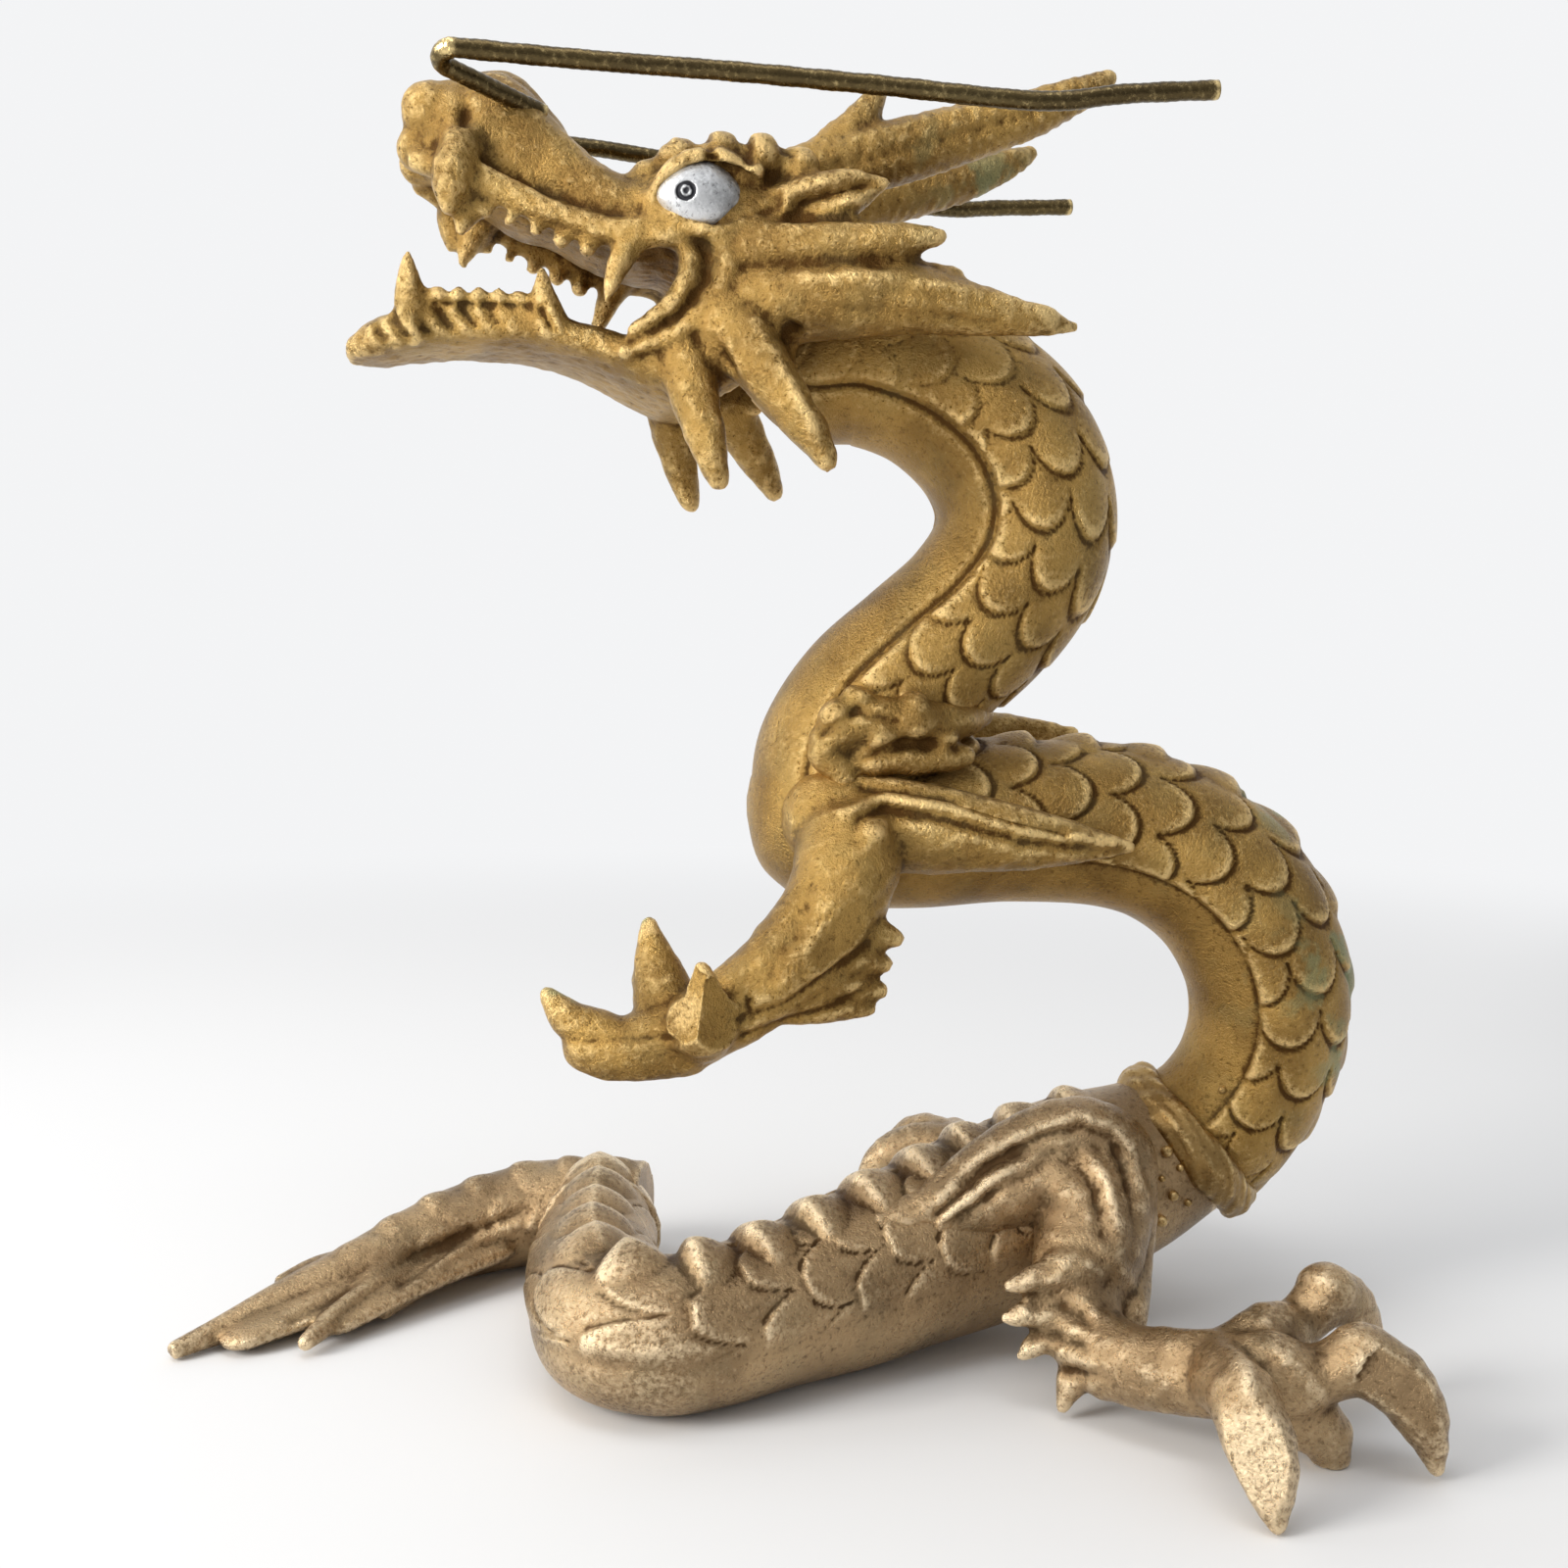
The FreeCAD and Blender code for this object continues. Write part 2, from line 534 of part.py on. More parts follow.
def head(outside, seat):
    shell = outside.cut(neck_room(seat))
    for passage in neck_passage():
        shell = shell.cut(passage)
    for side in (-1, 1):
        shell = shell.cut(whisker_hole(side))
        horn_mouth, inward = horn_tenon(side)
        start = horn_mouth - inward * HORN_TENON_WIDTH
        length = HORN_TENON_WIDTH + HORN_TENON_LENGTH
        shell = shell.cut(socket(start, inward, HORN_TENON_WIDTH, length))
    return largest(shell)


# ---------------------------------------------------------------- braze
def waist_braze(torso_outside, rear_outside):
    """The bead round the joint of torso and rear body."""
    end, direction = line_end(TORSO_ROWS)
    bead = ring(end, direction, HIP_WIDTH / 2 * REAR_ROWS[0][3], BEAD_WIDTH / 2)
    return largest(bead.cut([torso_outside, rear_outside]))


def tail_braze(rear_outside, tail_outside):
    """The bead round the joint of the tail loop and the last tail piece."""
    end, direction = line_end(REAR_ROWS)
    back = end - direction * (TAIL_WIDTH / 2)
    bead = ring(back, direction, HIP_WIDTH / 2 * REAR_ROWS[-2][3], TAIL_BEAD_WIDTH / 2)
    return largest(ground_flat(bead.cut([rear_outside, tail_outside])))


def chest_braze(neighbours):
    """Lumps of filler in the crease between neck, chest and left shoulder."""
    x, y, z, share = LEFT_FORELEG["bone"][1]
    on_shoulder = at(x, y, z) + Vector(0, BEAD_WIDTH, FORELEG_WIDTH / 2 * share)
    lumps = limb([(on_shoulder, BEAD_WIDTH / 2)] + stations(CHEST_BRAZE_ROWS, BEAD_WIDTH))
    return largest(lumps.cut(neighbours))


def placed(shape, placement):
    moved = shape.copy()
    moved.Placement = placement
    return moved


def build():
    torso_outside = torso_mass()
    rear_outside = rear_mass()
    tail_outside = tail_mass()
    pieces = {}
    pieces["torso"] = torso(torso_outside)
    pieces["rear_body"] = rear_body(rear_outside, torso_outside, tail_outside)
    pieces["tail_end"] = tail_outside
    on_neck = head_place()
    pieces["neck"] = neck(torso_outside, on_neck)
    left = leg(LEFT_FORELEG, FORELEG_WIDTH, torso_outside, LEFT_SHOULDER_STUD, -1)
    right = leg(RIGHT_FORELEG, FORELEG_WIDTH, torso_outside, RIGHT_SHOULDER_STUD, 1)
    pieces["left_foreleg"] = largest(left.cut(pieces["neck"]))
    pieces["right_foreleg"] = largest(right.cut(pieces["neck"]))
    pieces["left_hind_leg"] = leg(LEFT_HIND_LEG, HIND_LEG_WIDTH, rear_outside, LEFT_HIP_STUD, -1)
    pieces["right_hind_leg"] = leg(RIGHT_HIND_LEG, HIND_LEG_WIDTH, rear_outside, RIGHT_HIP_STUD, 1)
    pieces["waist_braze"] = waist_braze(torso_outside, rear_outside)
    pieces["tail_braze"] = tail_braze(rear_outside, tail_outside)
    chest = [torso_outside, pieces["neck"], pieces["left_foreleg"], pieces["right_foreleg"]]
    pieces["chest_braze"] = chest_braze(chest)
    skull_outside = skull()
    pieces["head"] = placed(head(skull_outside, on_neck), on_neck)
    pieces["left_horn"] = placed(horn(-1, skull_outside), on_neck)
    pieces["right_horn"] = placed(horn(1, skull_outside), on_neck)
    pieces["left_whisker"] = placed(whisker(-1), on_neck)
    pieces["right_whisker"] = placed(whisker(1), on_neck)
    return pieces


def centred(pieces):
    """Moves the figure so that its box stands on the origin."""
    box = FreeCAD.BoundBox()
    for shape in pieces.values():
        box.add(shape.optimalBoundingBox(False, False))
    shift = Vector(-box.Center.x, -box.Center.y, -box.ZMin)
    for shape in pieces.values():
        shape.translate(shift)
    print("figure moved by", shift)


def write():
    pieces = build()
    centred(pieces)
    os.makedirs("parts", exist_ok=True)
    for name, shape in pieces.items():
        shape.exportStep("parts/" + name + ".step")
        print(name, len(shape.Solids), "solid(s)", round(shape.Volume / 1000, 2), "cm3")


write()
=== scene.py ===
# %% [markdown]
# This scene dresses a cast metal dragon ornament.  The real figure is a set of sand castings that
# are brazed together and painted gold, with two bent wires for whiskers.  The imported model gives
# the sizes, the places and the two whisker joints.  The looks are made here: scales, folds, fangs
# and paint.
# %% Load the frame
import bpy
import bmesh
import json
import math
import numpy as np
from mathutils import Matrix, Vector, bvhtree


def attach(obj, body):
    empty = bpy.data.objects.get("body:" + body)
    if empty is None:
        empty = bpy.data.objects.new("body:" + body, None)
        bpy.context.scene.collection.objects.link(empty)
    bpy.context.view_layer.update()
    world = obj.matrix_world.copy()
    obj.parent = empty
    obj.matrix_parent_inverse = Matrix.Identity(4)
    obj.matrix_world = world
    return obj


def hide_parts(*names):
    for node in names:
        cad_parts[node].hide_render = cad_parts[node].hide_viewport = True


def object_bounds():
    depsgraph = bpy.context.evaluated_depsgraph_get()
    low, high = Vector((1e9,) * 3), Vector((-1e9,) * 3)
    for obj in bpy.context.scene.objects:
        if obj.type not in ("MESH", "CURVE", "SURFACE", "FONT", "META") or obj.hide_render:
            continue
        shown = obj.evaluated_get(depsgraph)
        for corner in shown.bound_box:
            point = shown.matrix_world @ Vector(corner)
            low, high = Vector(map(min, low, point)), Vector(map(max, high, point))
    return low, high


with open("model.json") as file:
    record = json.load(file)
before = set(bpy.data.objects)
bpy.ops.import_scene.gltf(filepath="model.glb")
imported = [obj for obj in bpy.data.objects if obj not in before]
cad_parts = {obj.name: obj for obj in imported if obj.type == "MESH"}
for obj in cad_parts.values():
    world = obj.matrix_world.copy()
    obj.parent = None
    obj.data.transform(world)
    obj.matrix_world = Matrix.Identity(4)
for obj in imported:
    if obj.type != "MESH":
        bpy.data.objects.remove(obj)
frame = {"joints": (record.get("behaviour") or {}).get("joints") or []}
cad_low, cad_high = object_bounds()
MM = 0.001

# %% [markdown]
# All pieces are laid out in millimetres on the same layout as the castings' design: X to the right,
# Y away from the viewer and the ground at Z = 0.  One joint has a known layout point, the mouth of
# the left whisker's hole, so the joint gives the shift between the layout and the frame.
# %% Layout helpers
HEAD_SEAT = np.array((5.0, 0.0, 168.0))
HEAD_TURN = math.radians(10.0)
HOLE_MOUTH = (-46.8, 12.0, 208.2)


def turned(points):
    """Head layout points, which are symmetric about Y = 0, carried to the turned head."""
    p = np.asarray(points, float) - HEAD_SEAT
    c, s = math.cos(HEAD_TURN), math.sin(HEAD_TURN)
    out = np.stack([p[..., 0] * c - p[..., 1] * s, p[..., 0] * s + p[..., 1] * c, p[..., 2]], -1)
    return out + HEAD_SEAT


joint = next(j for j in frame["joints"] if j["name"] == "left_whisker_swivel")
left_hole = turned((HOLE_MOUTH[0], -HOLE_MOUTH[1], HOLE_MOUTH[2]))
SHIFT = np.array(joint["pos_m"]) / MM - left_hole
print("layout shift in mm:", np.round(SHIFT, 3))

# %% [markdown]
# Blender works in metres and the layout in millimetres.  Scaling each object would leave a scale on
# it, so points are carried over when they are written, and every object stays unscaled at the
# origin.
# %% Meshes in millimetres
def deselect():
    """Puts Blender in object mode with nothing selected."""
    if bpy.context.object and bpy.context.object.mode != "OBJECT":
        bpy.ops.object.mode_set(mode="OBJECT")
    bpy.ops.object.select_all(action="DESELECT")


def make_object(name, points, faces):
    """A mesh object from layout points in millimetres."""
    mesh = bpy.data.meshes.new(name)
    mesh.from_pydata(((np.asarray(points) + SHIFT) * MM).tolist(), [], faces)
    mesh.validate()
    thing = bpy.data.objects.new(name, mesh)
    bpy.context.scene.collection.objects.link(thing)
    return thing


def read_points(thing):
    """Vertex places of a mesh, in layout millimetres."""
    flat = np.empty(len(thing.data.vertices) * 3)
    thing.data.vertices.foreach_get("co", flat)
    return flat.reshape(-1, 3) / MM - SHIFT


def write_points(thing, points):
    """Puts layout points back into a mesh."""
    thing.data.vertices.foreach_set("co", ((points + SHIFT) * MM).ravel())
    thing.data.update()

# %% [markdown]
# A sand casting takes paint unevenly: it wears pale on the high edges, and the recesses are darkened
# with painted shade.  Each piece gets a relief attribute that says how far a point stands above its
# smoothed surroundings, and the paint reads it.  It is worked out from the finished mesh, so it fits
# any shape.
# %% Relief attribute
def neighbour_average(values, edges, counts):
    """The mean of each point's neighbours."""
    out = np.empty_like(values)
    for axis in range(3):
        total = np.bincount(edges[:, 0], values[edges[:, 1], axis], len(values))
        total += np.bincount(edges[:, 1], values[edges[:, 0], axis], len(values))
        out[:, axis] = total / counts
    return out


def mesh_edges(thing):
    """The edges of a mesh, and how many meet at each point."""
    flat = np.empty(len(thing.data.edges) * 2, int)
    thing.data.edges.foreach_get("vertices", flat)
    edges = flat.reshape(-1, 2)
    counts = np.bincount(edges.ravel(), minlength=len(thing.data.vertices))
    return edges, np.maximum(counts, 1)


def vertex_normals(thing):
    """The way each point of a mesh faces."""
    flat = np.empty(len(thing.data.vertices) * 3)
    thing.data.vertices.foreach_get("normal", flat)
    return flat.reshape(-1, 3)


def smoothed(points, edges, counts, rounds, share=0.5):
    """Points that move towards their neighbours' mean, for some rounds."""
    for _ in range(rounds):
        points = points * (1 - share) + neighbour_average(points, edges, counts) * share
    return points


def mark_relief(thing, rounds=14, full=0.5):
    """Stores relief from 0, deep, through 0.5, level, to 1, proud by full millimetres."""
    points = read_points(thing)
    edges, counts = mesh_edges(thing)
    soft = smoothed(points, edges, counts, rounds)
    proud = np.einsum("ij,ij->i", points - soft, vertex_normals(thing))
    relief = np.clip(0.5 + proud / (2 * full), 0, 1)
    layer = thing.data.attributes.new("relief", "FLOAT", "POINT")
    layer.data.foreach_set("value", relief.astype(np.float32))

# %% [markdown]
# The neck, torso, hips and tail are long round castings that bend.  They could be made from bent
# cylinders, but scales have to follow the bend and keep their size.  So each one is a skin swept
# along a smooth line, and the scales are a height that is worked out in millimetres along and
# around it.
# %% Swept castings
def smooth_line(rows, step):
    """Samples rows of x, y, z, radius with a Catmull-Rom line, evenly spaced by about step."""
    rows = np.asarray(rows, float)
    padded = np.vstack([2 * rows[0] - rows[1], rows, 2 * rows[-1] - rows[-2]])
    found = []
    for i in range(1, len(padded) - 2):
        a, b, c, d = padded[i - 1:i + 3]
        t = np.linspace(0, 1, 40, endpoint=False)[:, None]
        found.append(0.5 * (2 * b + (c - a) * t + (2 * a - 5 * b + 4 * c - d) * t * t
                            + (3 * b - a - 3 * c + d) * t ** 3))
    fine = np.vstack(found + [rows[-1:]])
    run = np.concatenate([[0], np.cumsum(np.linalg.norm(np.diff(fine[:, :3], axis=0), axis=1))])
    count = max(int(round(run[-1] / step)), 4)
    even = np.linspace(0, run[-1], count + 1)
    return np.stack([np.interp(even, run, fine[:, k]) for k in range(fine.shape[1])], 1), even


def unit_rows(v):
    """Each row, scaled to length 1."""
    return v / np.maximum(np.linalg.norm(v, axis=-1, keepdims=True), 1e-9)

# %% [markdown]
# A sweep is rings of points with a face between each four of them.  A fan of triangles closes each
# end, so that the skin holds a volume, and all faces are turned outwards.
# %% Closed skins
def closed_skin(points, rings, around, ends=None):
    """Faces for rings of points, closed with a point at each end."""
    if ends is None:
        ends = points[:around].mean(0), points[-around:].mean(0)
    index = np.arange(rings * around).reshape(rings, around)
    nxt = np.roll(index, -1, axis=1)
    faces = np.stack([index[:-1], nxt[:-1], nxt[1:], index[1:]], -1).reshape(-1, 4).tolist()
    first, last = len(points), len(points) + 1
    faces += [(first, int(nxt[0, j]), int(index[0, j])) for j in range(around)]
    faces += [(last, int(index[-1, j]), int(nxt[-1, j])) for j in range(around)]
    return np.vstack([points, *ends]), faces


def sweep(name, rows, back, height, step=0.6, around=170):
    """A skin along rows of x, y, z, radius.  back(tangents) gives the direction of the spine, and
    height(along, across, turn, length) the relief in millimetres, with turn 0 at the spine."""
    line, along = smooth_line(rows, step)
    centre, radius = line[:, :3], line[:, 3]
    tangent = unit_rows(np.gradient(centre, axis=0))
    spine = back(tangent)
    spine = unit_rows(spine - tangent * np.sum(spine * tangent, 1, keepdims=True))
    side = np.cross(spine, tangent)
    turn = np.linspace(-math.pi, math.pi, around, endpoint=False)
    grid_along, grid_turn = np.meshgrid(along, turn, indexing="ij")
    grid_radius = np.repeat(radius[:, None], around, 1)
    lift = height(grid_along, grid_turn * grid_radius, grid_turn, along[-1])
    reach = (grid_radius + lift)[..., None]
    ring = spine[:, None] * np.cos(grid_turn)[..., None] + side[:, None] * np.sin(grid_turn)[..., None]
    points = (centre[:, None] + ring * reach).reshape(-1, 3)
    skin = closed_skin(points, len(along), around, (centre[0], centre[-1]))
    thing = make_object(name, *skin)
    face_out(thing)
    print(name, len(thing.data.polygons), "faces,", round(float(along[-1]), 1), "mm long")
    return thing


def face_out(thing):
    """Turns every face of a closed skin outwards."""
    bm = bmesh.new()
    bm.from_mesh(thing.data)
    bmesh.ops.recalc_face_normals(bm, faces=bm.faces)
    if bm.calc_volume(signed=True) < 0:
        bmesh.ops.reverse_faces(bm, faces=bm.faces)
    bm.to_mesh(thing.data)
    bm.free()
    thing.data.shade_smooth()

# %% [markdown]
# Humps and scales need to know which side of a casting is its back.  The neck and torso bend in an
# upright plane, so their back is the outside of the bend.  The tail lies on the ground, so its back
# is up.
# %% Where the spine lies
def spine_in_plane(tangent):
    """Neck and torso lie in one upright plane, and the spine is on the outside of the bend."""
    return np.cross(tangent, (0.0, 1.0, 0.0))


def spine_up(tangent):
    """The tail lies on the ground, so its spine is on top."""
    return np.tile((0.0, 0.0, 1.0), (len(tangent), 1))

# %% [markdown]
# Each scale is a shallow leaf whose round free edge lies over the next row, like roof tiles.  A
# point asks the row above first: if that scale still covers it, the point is on it, otherwise it is
# on the scale of its own row.  A fine groove runs just outside each free edge, as the pattern maker
# cut it.
# %% Scale relief
def smooth_step(value, low, high):
    """A soft step from 0 at low to 1 at high."""
    t = np.clip((value - low) / (high - low), 0, 1)
    return t * t * (3 - 2 * t)


DOME_FALL = 0.45
EDGE_ROLL = 0.9
GROOVE_PLACE, GROOVE_WIDTH = 0.25, 0.55


def scales(along, across, pitch, width, rise, groove, tip=0.8):
    """Height of overlapping scales whose free edges point along the body: pitch and width are their
    sizes, rise their height, groove the depth of the line below them and tip how far they hang."""
    row = np.floor(along / pitch)
    place = along / pitch - row

    def local(shift):
        own = row - shift
        offset = 0.5 * np.mod(own, 2) + 0.07 * np.sin(own * 12.9)
        q = across / width - offset
        return 2 * (q - np.round(q)), place + shift

    q0, p0 = local(0)
    q1, p1 = local(1)
    reach0 = 1 + tip * np.sqrt(np.clip(1 - q0 ** 2, 0, 1))
    reach1 = 1 + tip * np.sqrt(np.clip(1 - q1 ** 2, 0, 1))
    on_upper = p1 < reach1
    lower = rise * (0.25 + 0.75 * p0 / reach0) * (1 - DOME_FALL * q0 ** 2)
    upper = rise * (0.25 + 0.75 * p1 / reach1) * (1 - DOME_FALL * q1 ** 2)
    roll = smooth_step((reach1 - p1) * pitch, 0.0, EDGE_ROLL)
    upper = upper * (0.55 + 0.45 * roll)
    cut = groove * np.exp(-(((p1 - reach1) * pitch - GROOVE_PLACE) / GROOVE_WIDTH) ** 2)
    return np.where(on_upper, upper, lower) - cut

# %% [markdown]
# A row of humps stands on the spine, each with a slow rise and a steep fall, like a saw.  Lumps are
# the sand mould's own unevenness, and a groove line parts the scales from the smooth belly.
# %% Humps, lumps and grooves
def humps(along, across, pitch, half_width, rise, lean=0.75):
    """A row of humps along the spine, each rising slowly and falling fast."""
    t = along / pitch - np.floor(along / pitch)
    rising, falling = t / lean * math.pi / 2, (t - lean) / (1 - lean) * math.pi / 2
    shape = np.where(t < lean, np.sin(rising), np.cos(falling))
    flank = np.clip(1 - np.abs(across / (half_width * (0.4 + 0.6 * shape))), 0, 1)
    return rise * shape * flank ** 0.75


def lumps(along, across, size, rise, seed=0.0):
    """Soft unevenness of the casting."""
    a, b = along / size, across / size
    wave = np.sin(a * 1.7 + seed) * np.cos(b * 1.3 + 2 * seed) + np.sin(a * 0.9 - b * 2.1 + seed)
    return rise * wave * 0.5


def groove_line(value, place, width, depth):
    """A round-bottomed groove along the line where value equals place."""
    return -depth * np.exp(-((value - place) / width) ** 2)

# %% [markdown]
# The neck is one casting that comes out of the hollow head and bends down to the chest.  Its spine
# lies on the outside of the bend.  Scales cover the back and the flanks, and a smooth belly band
# runs along the inside with a groove at its edge.  A bevelled curve would give the tube but no
# scales, so the tube is swept with a relief of its own.
# %% The neck
NECK_ROWS = [
    (-5.6, 0, 170.4, 6.0), (-1, 0, 170.4, 10.5), (5, 0, 170.4, 13.4), (14, 0, 170.8, 14.4),
    (26, 0, 166.6, 14.7), (36, 0, 158.4, 15.1), (40.8, 0, 148, 15.1), (39.8, 0, 137.6, 14.9),
    (33.5, 0, 128.6, 14.5), (24.4, 0, 120.6, 14.4), (16.2, 0, 112.4, 15.1), (11.6, 0, 103.4, 16.4),
    (10.5, 0, 95, 16.5),
]
BELLY_TURN = math.radians(112)
NECK_GIRTH = 14.5


def neck_height(along, across, turn, length):
    cover = 1 - smooth_step(np.abs(turn), BELLY_TURN - 0.05, BELLY_TURN)
    cover *= smooth_step(length - along, 16, 22)
    near_head = 0.45 + 0.55 * smooth_step(along, 24, 60)
    skin = scales(along + 3, across, 7.6, 9.2, 1.35, 0.3) * cover * near_head
    skin += groove_line(np.abs(turn) * NECK_GIRTH, BELLY_TURN * NECK_GIRTH + 1.2, 0.6, 0.7)
    skin += lumps(along, across, 9, 0.18)
    return skin


neck = sweep("neck_casting", NECK_ROWS, spine_in_plane, neck_height)

# %% [markdown]
# The torso casting starts as a round cap on the chest and arches down to the waist.  It could be
# one piece with the neck, but on the real figure the two are separate castings, so it has its own
# rows.  Its scales are larger, and a row of humps runs along the spine.
# %% The torso
TORSO_ROWS = [
    (-6.5, 0, 94.4, 1.6), (-5.4, 0, 94.4, 6.6), (-2.8, 0, 94.3, 11.2), (1.6, 0, 94.1, 14.8),
    (6.2, 0, 93.8, 16.4), (11, 0, 93.4, 16.8), (24, 0.4, 91.5, 14.9), (40, 2, 91.4, 13.9),
    (56, 4, 90.3, 13.8), (69, 5, 86.2, 14.1),
    (79.4, 6, 78.2, 14.2), (86, 7.2, 66.6, 13.9), (87.6, 8.6, 55.2, 13.5), (85.2, 10, 44.8, 13.2),
    (80.2, 11, 36.6, 13.2), (74, 11, 31.4, 13.2),
]


def torso_height(along, across, turn, length):
    cover = 1 - smooth_step(np.abs(turn), BELLY_TURN - 0.05, BELLY_TURN)
    cover *= smooth_step(along, 20, 30) * smooth_step(length - along, 2, 8)
    skin = scales(along, across, 8.4, 10.4, 1.5, 0.35) * cover
    skin = np.maximum(skin, humps(along, across, 10.2, 8.0, 2.5) * smooth_step(along, 26, 34))
    skin += lumps(along, across, 10, 0.22, 1.0)
    return skin


torso = sweep("torso_casting", TORSO_ROWS, spine_in_plane, torso_height)

# %% [markdown]
# The hips and the near part of the tail are the heaviest casting, and the figure stands on its
# curve.  Here the spine points up, not outwards, because the tail lies on the ground.  The same
# sweep makes it, with taller humps and scales that fade out low on the flanks.
# %% The hips and the tail loop
REAR_ROWS = [
    (74, 11, 31.4, 13.2), (62, 9, 26.6, 15.4), (49, 5, 22.4, 16.2), (34, 0.6, 18, 16.1),
    (18, -8.6, 15, 14.7), (2.4, -18.4, 12.8, 12.8), (-10.4, -26.8, 11.7, 11.8),
    (-20.6, -29.6, 11.5, 11.8), (-29, -24.4, 11.3, 11.6), (-32.8, -11, 11, 11.2),
    (-34.2, 4, 10.6, 10.8), (-35.2, 18, 10.3, 10.3), (-36, 27, 10.2, 9.9),
]


def rear_height(along, across, turn, length):
    cover = 1 - smooth_step(np.abs(turn), math.radians(74), math.radians(92))
    cover *= smooth_step(along, 8, 20)
    skin = scales(along, across, 8.6, 11.0, 1.3, 0.35, 1.1) * cover
    skin = np.maximum(skin, humps(along, across, 11.5, 8.5, 4.2, 0.72) * smooth_step(along, 10, 22))
    skin += lumps(along, across, 8, 0.3, 2.0)
    return skin


rear = sweep("rear_body_casting", REAR_ROWS, spine_up, rear_height)

# %% [markdown]
# The tail was cast in two pieces.  The last one starts at a flat sawn end behind the loop and thins
# out to the tip, and its scales and humps fade with it.  Its fin is pressed on further down.
# %% The last tail piece
TAIL_ROWS = [
    (-27.6, 31, 10.3, 10.0), (-42, 32.6, 10.1, 10.0), (-54, 30.6, 9.4, 9.3), (-66, 24, 7.9, 7.9),
    (-78, 14, 5.9, 6.0), (-92, 1, 3.5, 3.8), (-105.4, -12.4, 1.5, 1.3),
]


def tail_height(along, across, turn, length):
    cover = 1 - smooth_step(np.abs(turn), math.radians(80), math.radians(95))
    fade = smooth_step(length - along, 20, 50)
    skin = scales(along, across, 8.4, 9.0, 0.9, 0.3, 1.0) * cover * fade
    skin = np.maximum(skin, humps(along, across, 9.0, 6.0, 1.8, 0.72) * fade)
    return skin + lumps(along, across, 7, 0.3, 3.0)


tail = sweep("tail_end_casting", TAIL_ROWS, spine_up, tail_height, around=110)

# %% [markdown]
# The head, horns and legs are too free in shape for a sweep.  They are built as a pattern maker
# would build them in wax: tapered limbs and balls are pressed together, a voxel remesh fuses them
# into one skin, a little smoothing rounds the joints, and lines are then cut in or raised with a
# soft brush.
# %% Wax helpers
END_TURNS = (80, 60, 40, 20)


def wax_limb(rows, flat=1.0, around=28, guide=(0.0, 1.0, 0.0)):
    """Points and faces of a limb with round ends along rows of x, y, z, radius.  guide is the way of
    its width, and flat its thickness as a share of that width."""
    line, along = smooth_line(rows, max(rows[0][3], rows[-1][3], 1.0) * 0.5)
    centre, radius = line[:, :3], line[:, 3]
    tangent = unit_rows(np.gradient(centre, axis=0))
    ends = np.radians(END_TURNS)
    before = centre[0] - tangent[0] * radius[0] * np.sin(ends)[:, None]
    after = centre[-1] + tangent[-1] * radius[-1] * np.sin(ends[::-1])[:, None]
    centre = np.vstack([before, centre, after])
    radius = np.concatenate([radius[0] * np.cos(ends), radius, radius[-1] * np.cos(ends[::-1])])
    extra = len(END_TURNS)
    tangent = np.vstack([np.repeat(tangent[:1], extra, 0), tangent, np.repeat(tangent[-1:], extra, 0)])
    guide = np.asarray(guide, float)
    wide = guide - tangent * (tangent @ guide)[:, None]
    for i in range(len(wide)):
        if np.linalg.norm(wide[i]) < 0.25:
            wide[i] = wide[i - 1] if i else np.cross(tangent[0], (0.3, 0.1, 1.0))
            wide[i] -= tangent[i] * (tangent[i] @ wide[i])
    wide = unit_rows(wide)
    high = np.cross(tangent, wide)
    turn = np.linspace(0, 2 * math.pi, around, endpoint=False)
    ring = wide[:, None] * np.cos(turn)[:, None] + high[:, None] * flat * np.sin(turn)[:, None]
    points = (centre[:, None] + ring * radius[:, None, None]).reshape(-1, 3)
    return closed_skin(points, len(centre), around)

# %% [markdown]
# Balls make brows, nostrils, gums and lumps.  The skull and the jaw need a wider section than a
# round limb, so they are skins through ovals that are a little boxy, as cast heads are.
# %% Balls and ovals
def wax_ball(x, y, z, radius, tall=1.0, long=1.0):
    """A ball, stretched along X by long and along Z by tall."""
    rows = [(x - radius * long * 0.02, y, z, radius), (x + radius * long * 0.02, y, z, radius)]
    points, faces = wax_limb(rows, around=20)
    centre = np.array((x, y, z))
    return (points - centre) * (long, 1.0, tall) + centre, faces


def wax_ovals(rows, boxy=0.8, around=48):
    """A skin through ovals of x, centre height, half height and half width."""
    line, along = smooth_line([(x, z, h, w) for x, z, h, w in rows], 1.2)
    turn = np.linspace(0, 2 * math.pi, around, endpoint=False)
    across = np.sign(np.cos(turn)) * np.abs(np.cos(turn)) ** boxy
    upward = np.sign(np.sin(turn)) * np.abs(np.sin(turn)) ** boxy
    x = np.repeat(line[:, :1], around, 1)
    points = np.stack([x, line[:, 3:] * across, line[:, 1:2] + line[:, 2:3] * upward], -1)
    return closed_skin(points.reshape(-1, 3), len(line), around)

# %% [markdown]
# A remesh and a boolean can leave loose crumbs.  Only the largest connected skin is the casting, so
# the others are dropped, and then a few rounds of averaging melt the joints together.
# %% Crumbs and joints
def drop_crumbs(thing):
    """Keeps only the largest connected skin."""
    bm = bmesh.new()
    bm.from_mesh(thing.data)
    left = set(bm.verts)
    islands = []
    while left:
        stack = [left.pop()]
        island = set(stack)
        while stack:
            for edge in stack.pop().link_edges:
                for vert in edge.verts:
                    if vert in left:
                        left.discard(vert)
                        island.add(vert)
                        stack.append(vert)
        islands.append(island)
    islands.sort(key=len)
    for island in islands[:-1]:
        bmesh.ops.delete(bm, geom=list(island), context="VERTS")
    bm.to_mesh(thing.data)
    bm.free()


